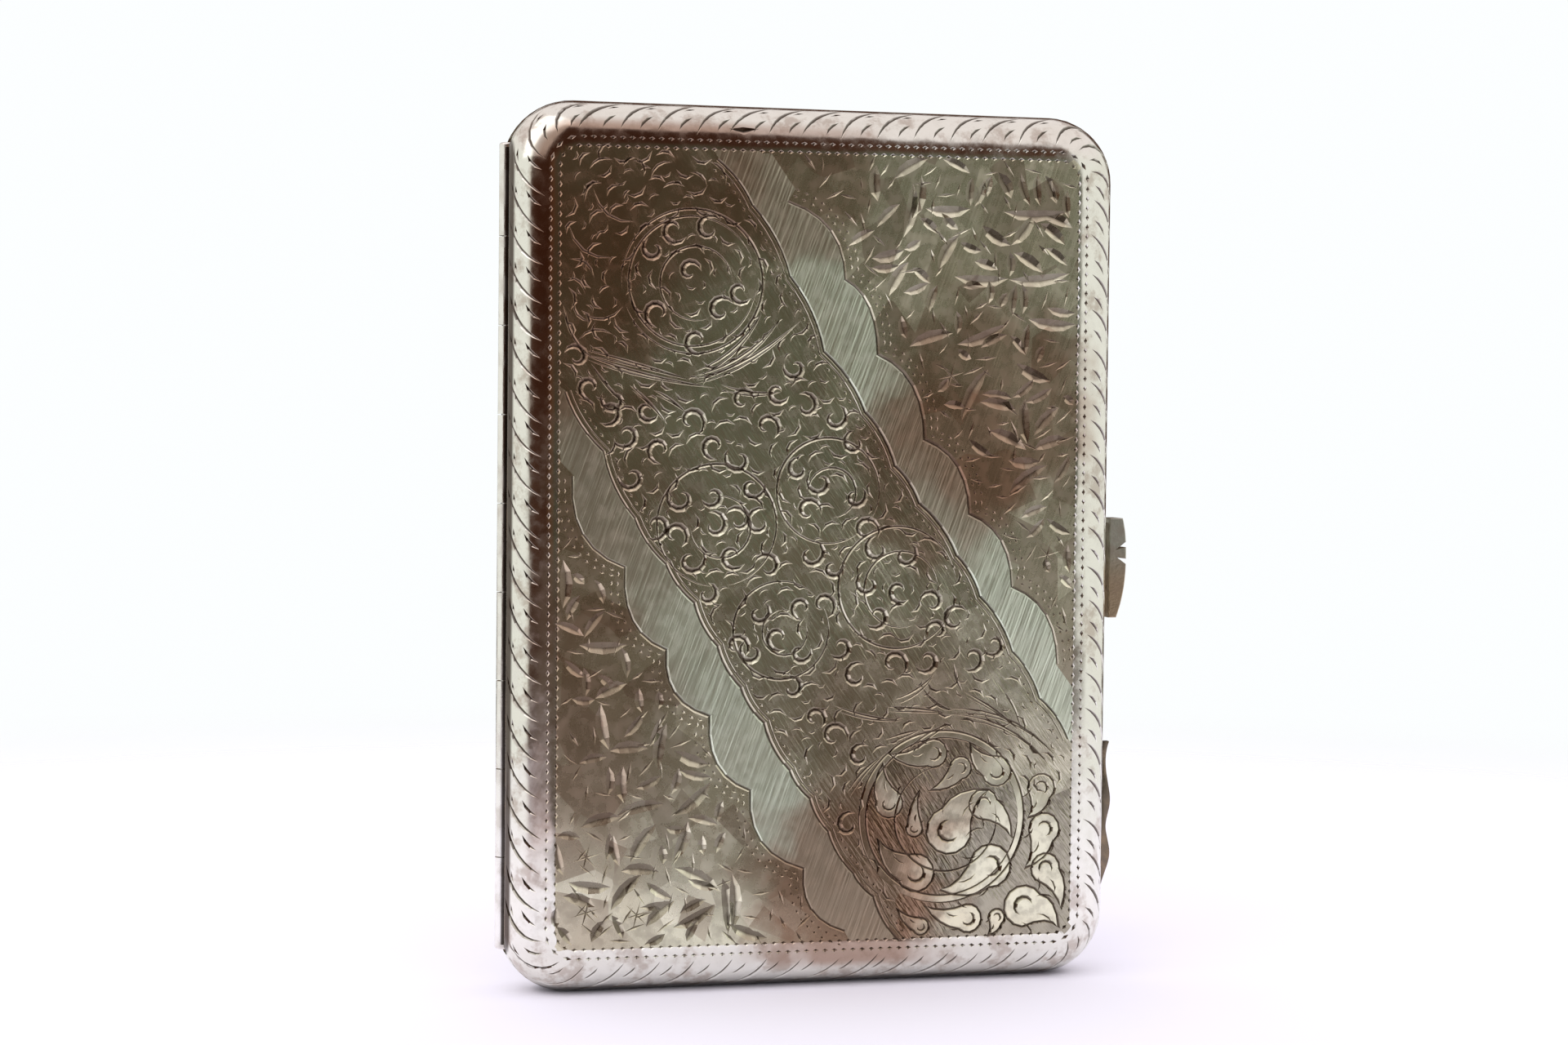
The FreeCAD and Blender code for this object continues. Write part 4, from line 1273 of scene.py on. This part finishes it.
def studio_world():
    """White all round, with a dim room ahead of the case and behind it. The camera sees plain white."""
    world = bpy.data.worlds.new("studio")
    bpy.context.scene.world = world
    world.use_nodes = True
    world.node_tree.nodes.clear()
    w = Nodes(world.node_tree)
    ray = w.node("ShaderNodeTexCoord").outputs["Generated"]
    axes = w.node("ShaderNodeSeparateXYZ", {0: ray}).outputs
    sideways = w.times(axes["X"], w.math("SIGN", axes["Y"], 0.0))
    facing = w.times(w.math("ABSOLUTE", axes["Y"], 0.0), ROOM_MIDDLE[1])
    facing = w.scaled(sideways, ROOM_MIDDLE[0], facing)
    facing = w.scaled(axes["Z"], ROOM_MIDDLE[2], facing)
    facing = w.scaled(w.remap(axes["Y"], 0.0, 0.3), -0.12, facing)  # it is smaller behind
    facing = w.scaled(w.remap(sideways, 0.3, 0.7), 0.12, facing)
    blobs = w.node("ShaderNodeTexNoise", {"Vector": ray, "Scale": 5.0, "Detail": 2.0}).outputs["Fac"]
    room_part = w.remap(w.scaled(blobs, 0.1, facing), 0.79, 0.845)
    patches = w.node("ShaderNodeTexNoise", {"Vector": ray, "Scale": 16.0, "Detail": 2.0}).outputs["Fac"]
    warm = w.math("MAXIMUM", w.remap(patches, 0.52, 0.64), w.remap(sideways, -0.05, 0.2))
    dim = w.mix(warm, rgb(0.098, 0.112, 0.086), rgb(0.19, 0.105, 0.055))
    dim = w.mix(w.remap(w.math("MAXIMUM", sideways, axes["Z"]), 0.1, 0.32), dim, rgb(0.075, 0.034, 0.02))
    upright = w.remap(w.math("ABSOLUTE", axes["Z"], 0.0), 0.25, 0.65)
    bright = w.mix(upright, rgb(0.87, 0.868, 0.825), rgb(0.90, 0.83, 0.835))
    light = w.mix(room_part, bright, dim)
    path = w.node("ShaderNodeLightPath").outputs
    light = w.mix(path["Is Diffuse Ray"], light, rgb(1.12, 1.1, 1.14))
    shown = w.mix(path["Is Camera Ray"], light, rgb(0.975, 0.995, 1.0))
    back = w.node("ShaderNodeBackground", {"Color": shown, "Strength": 1.0})
    w.node("ShaderNodeOutputWorld", {"Surface": back.outputs[0]})


studio_world()


def soft_light(name, at, watts, size):
    lamp = bpy.data.lights.new(name, "AREA")
    lamp.energy, lamp.size = watts, size
    obj = linked(name, lamp)
    obj.location = at
    aim = Vector((0, 0, cad_high.z / 2)) - Vector(at)
    obj.rotation_euler = aim.to_track_quat("-Z", "Y").to_euler()


soft_light("key", (-0.55, -0.35, 0.75), 2.5, 1.1)

CAMERA_DISTANCE = 0.3028
CAMERA_HEIGHT = 0.05966
CASE_TURN = 0.25596  # how far the case is turned from facing the camera
PAN, PITCH, ROLL = -0.008708, 0.036592, 0.010140
LENS = 65.83


def place_camera():
    data = bpy.data.cameras.new("camera")
    data.lens, data.sensor_width = LENS, 36.0
    data.clip_start, data.clip_end = 0.01, 50.0
    camera = linked("camera", data)
    ahead = Vector((math.sin(PAN) * math.cos(PITCH), math.cos(PAN) * math.cos(PITCH), -math.sin(PITCH)))
    right = Vector((math.cos(PAN), -math.sin(PAN), 0))
    up = right.cross(ahead)
    c, s = math.cos(ROLL), math.sin(ROLL)
    right, up = c * right + s * up, c * up - s * right
    axes = Matrix((right, up, -ahead)).transposed().to_4x4()
    camera.matrix_world = (Matrix.Rotation(-CASE_TURN, 4, "Z")
                           @ Matrix.Translation((0, -CAMERA_DISTANCE, CAMERA_HEIGHT)) @ axes)
    bpy.context.scene.camera = camera


place_camera()
bpy.context.scene.view_settings.view_transform = "Standard"
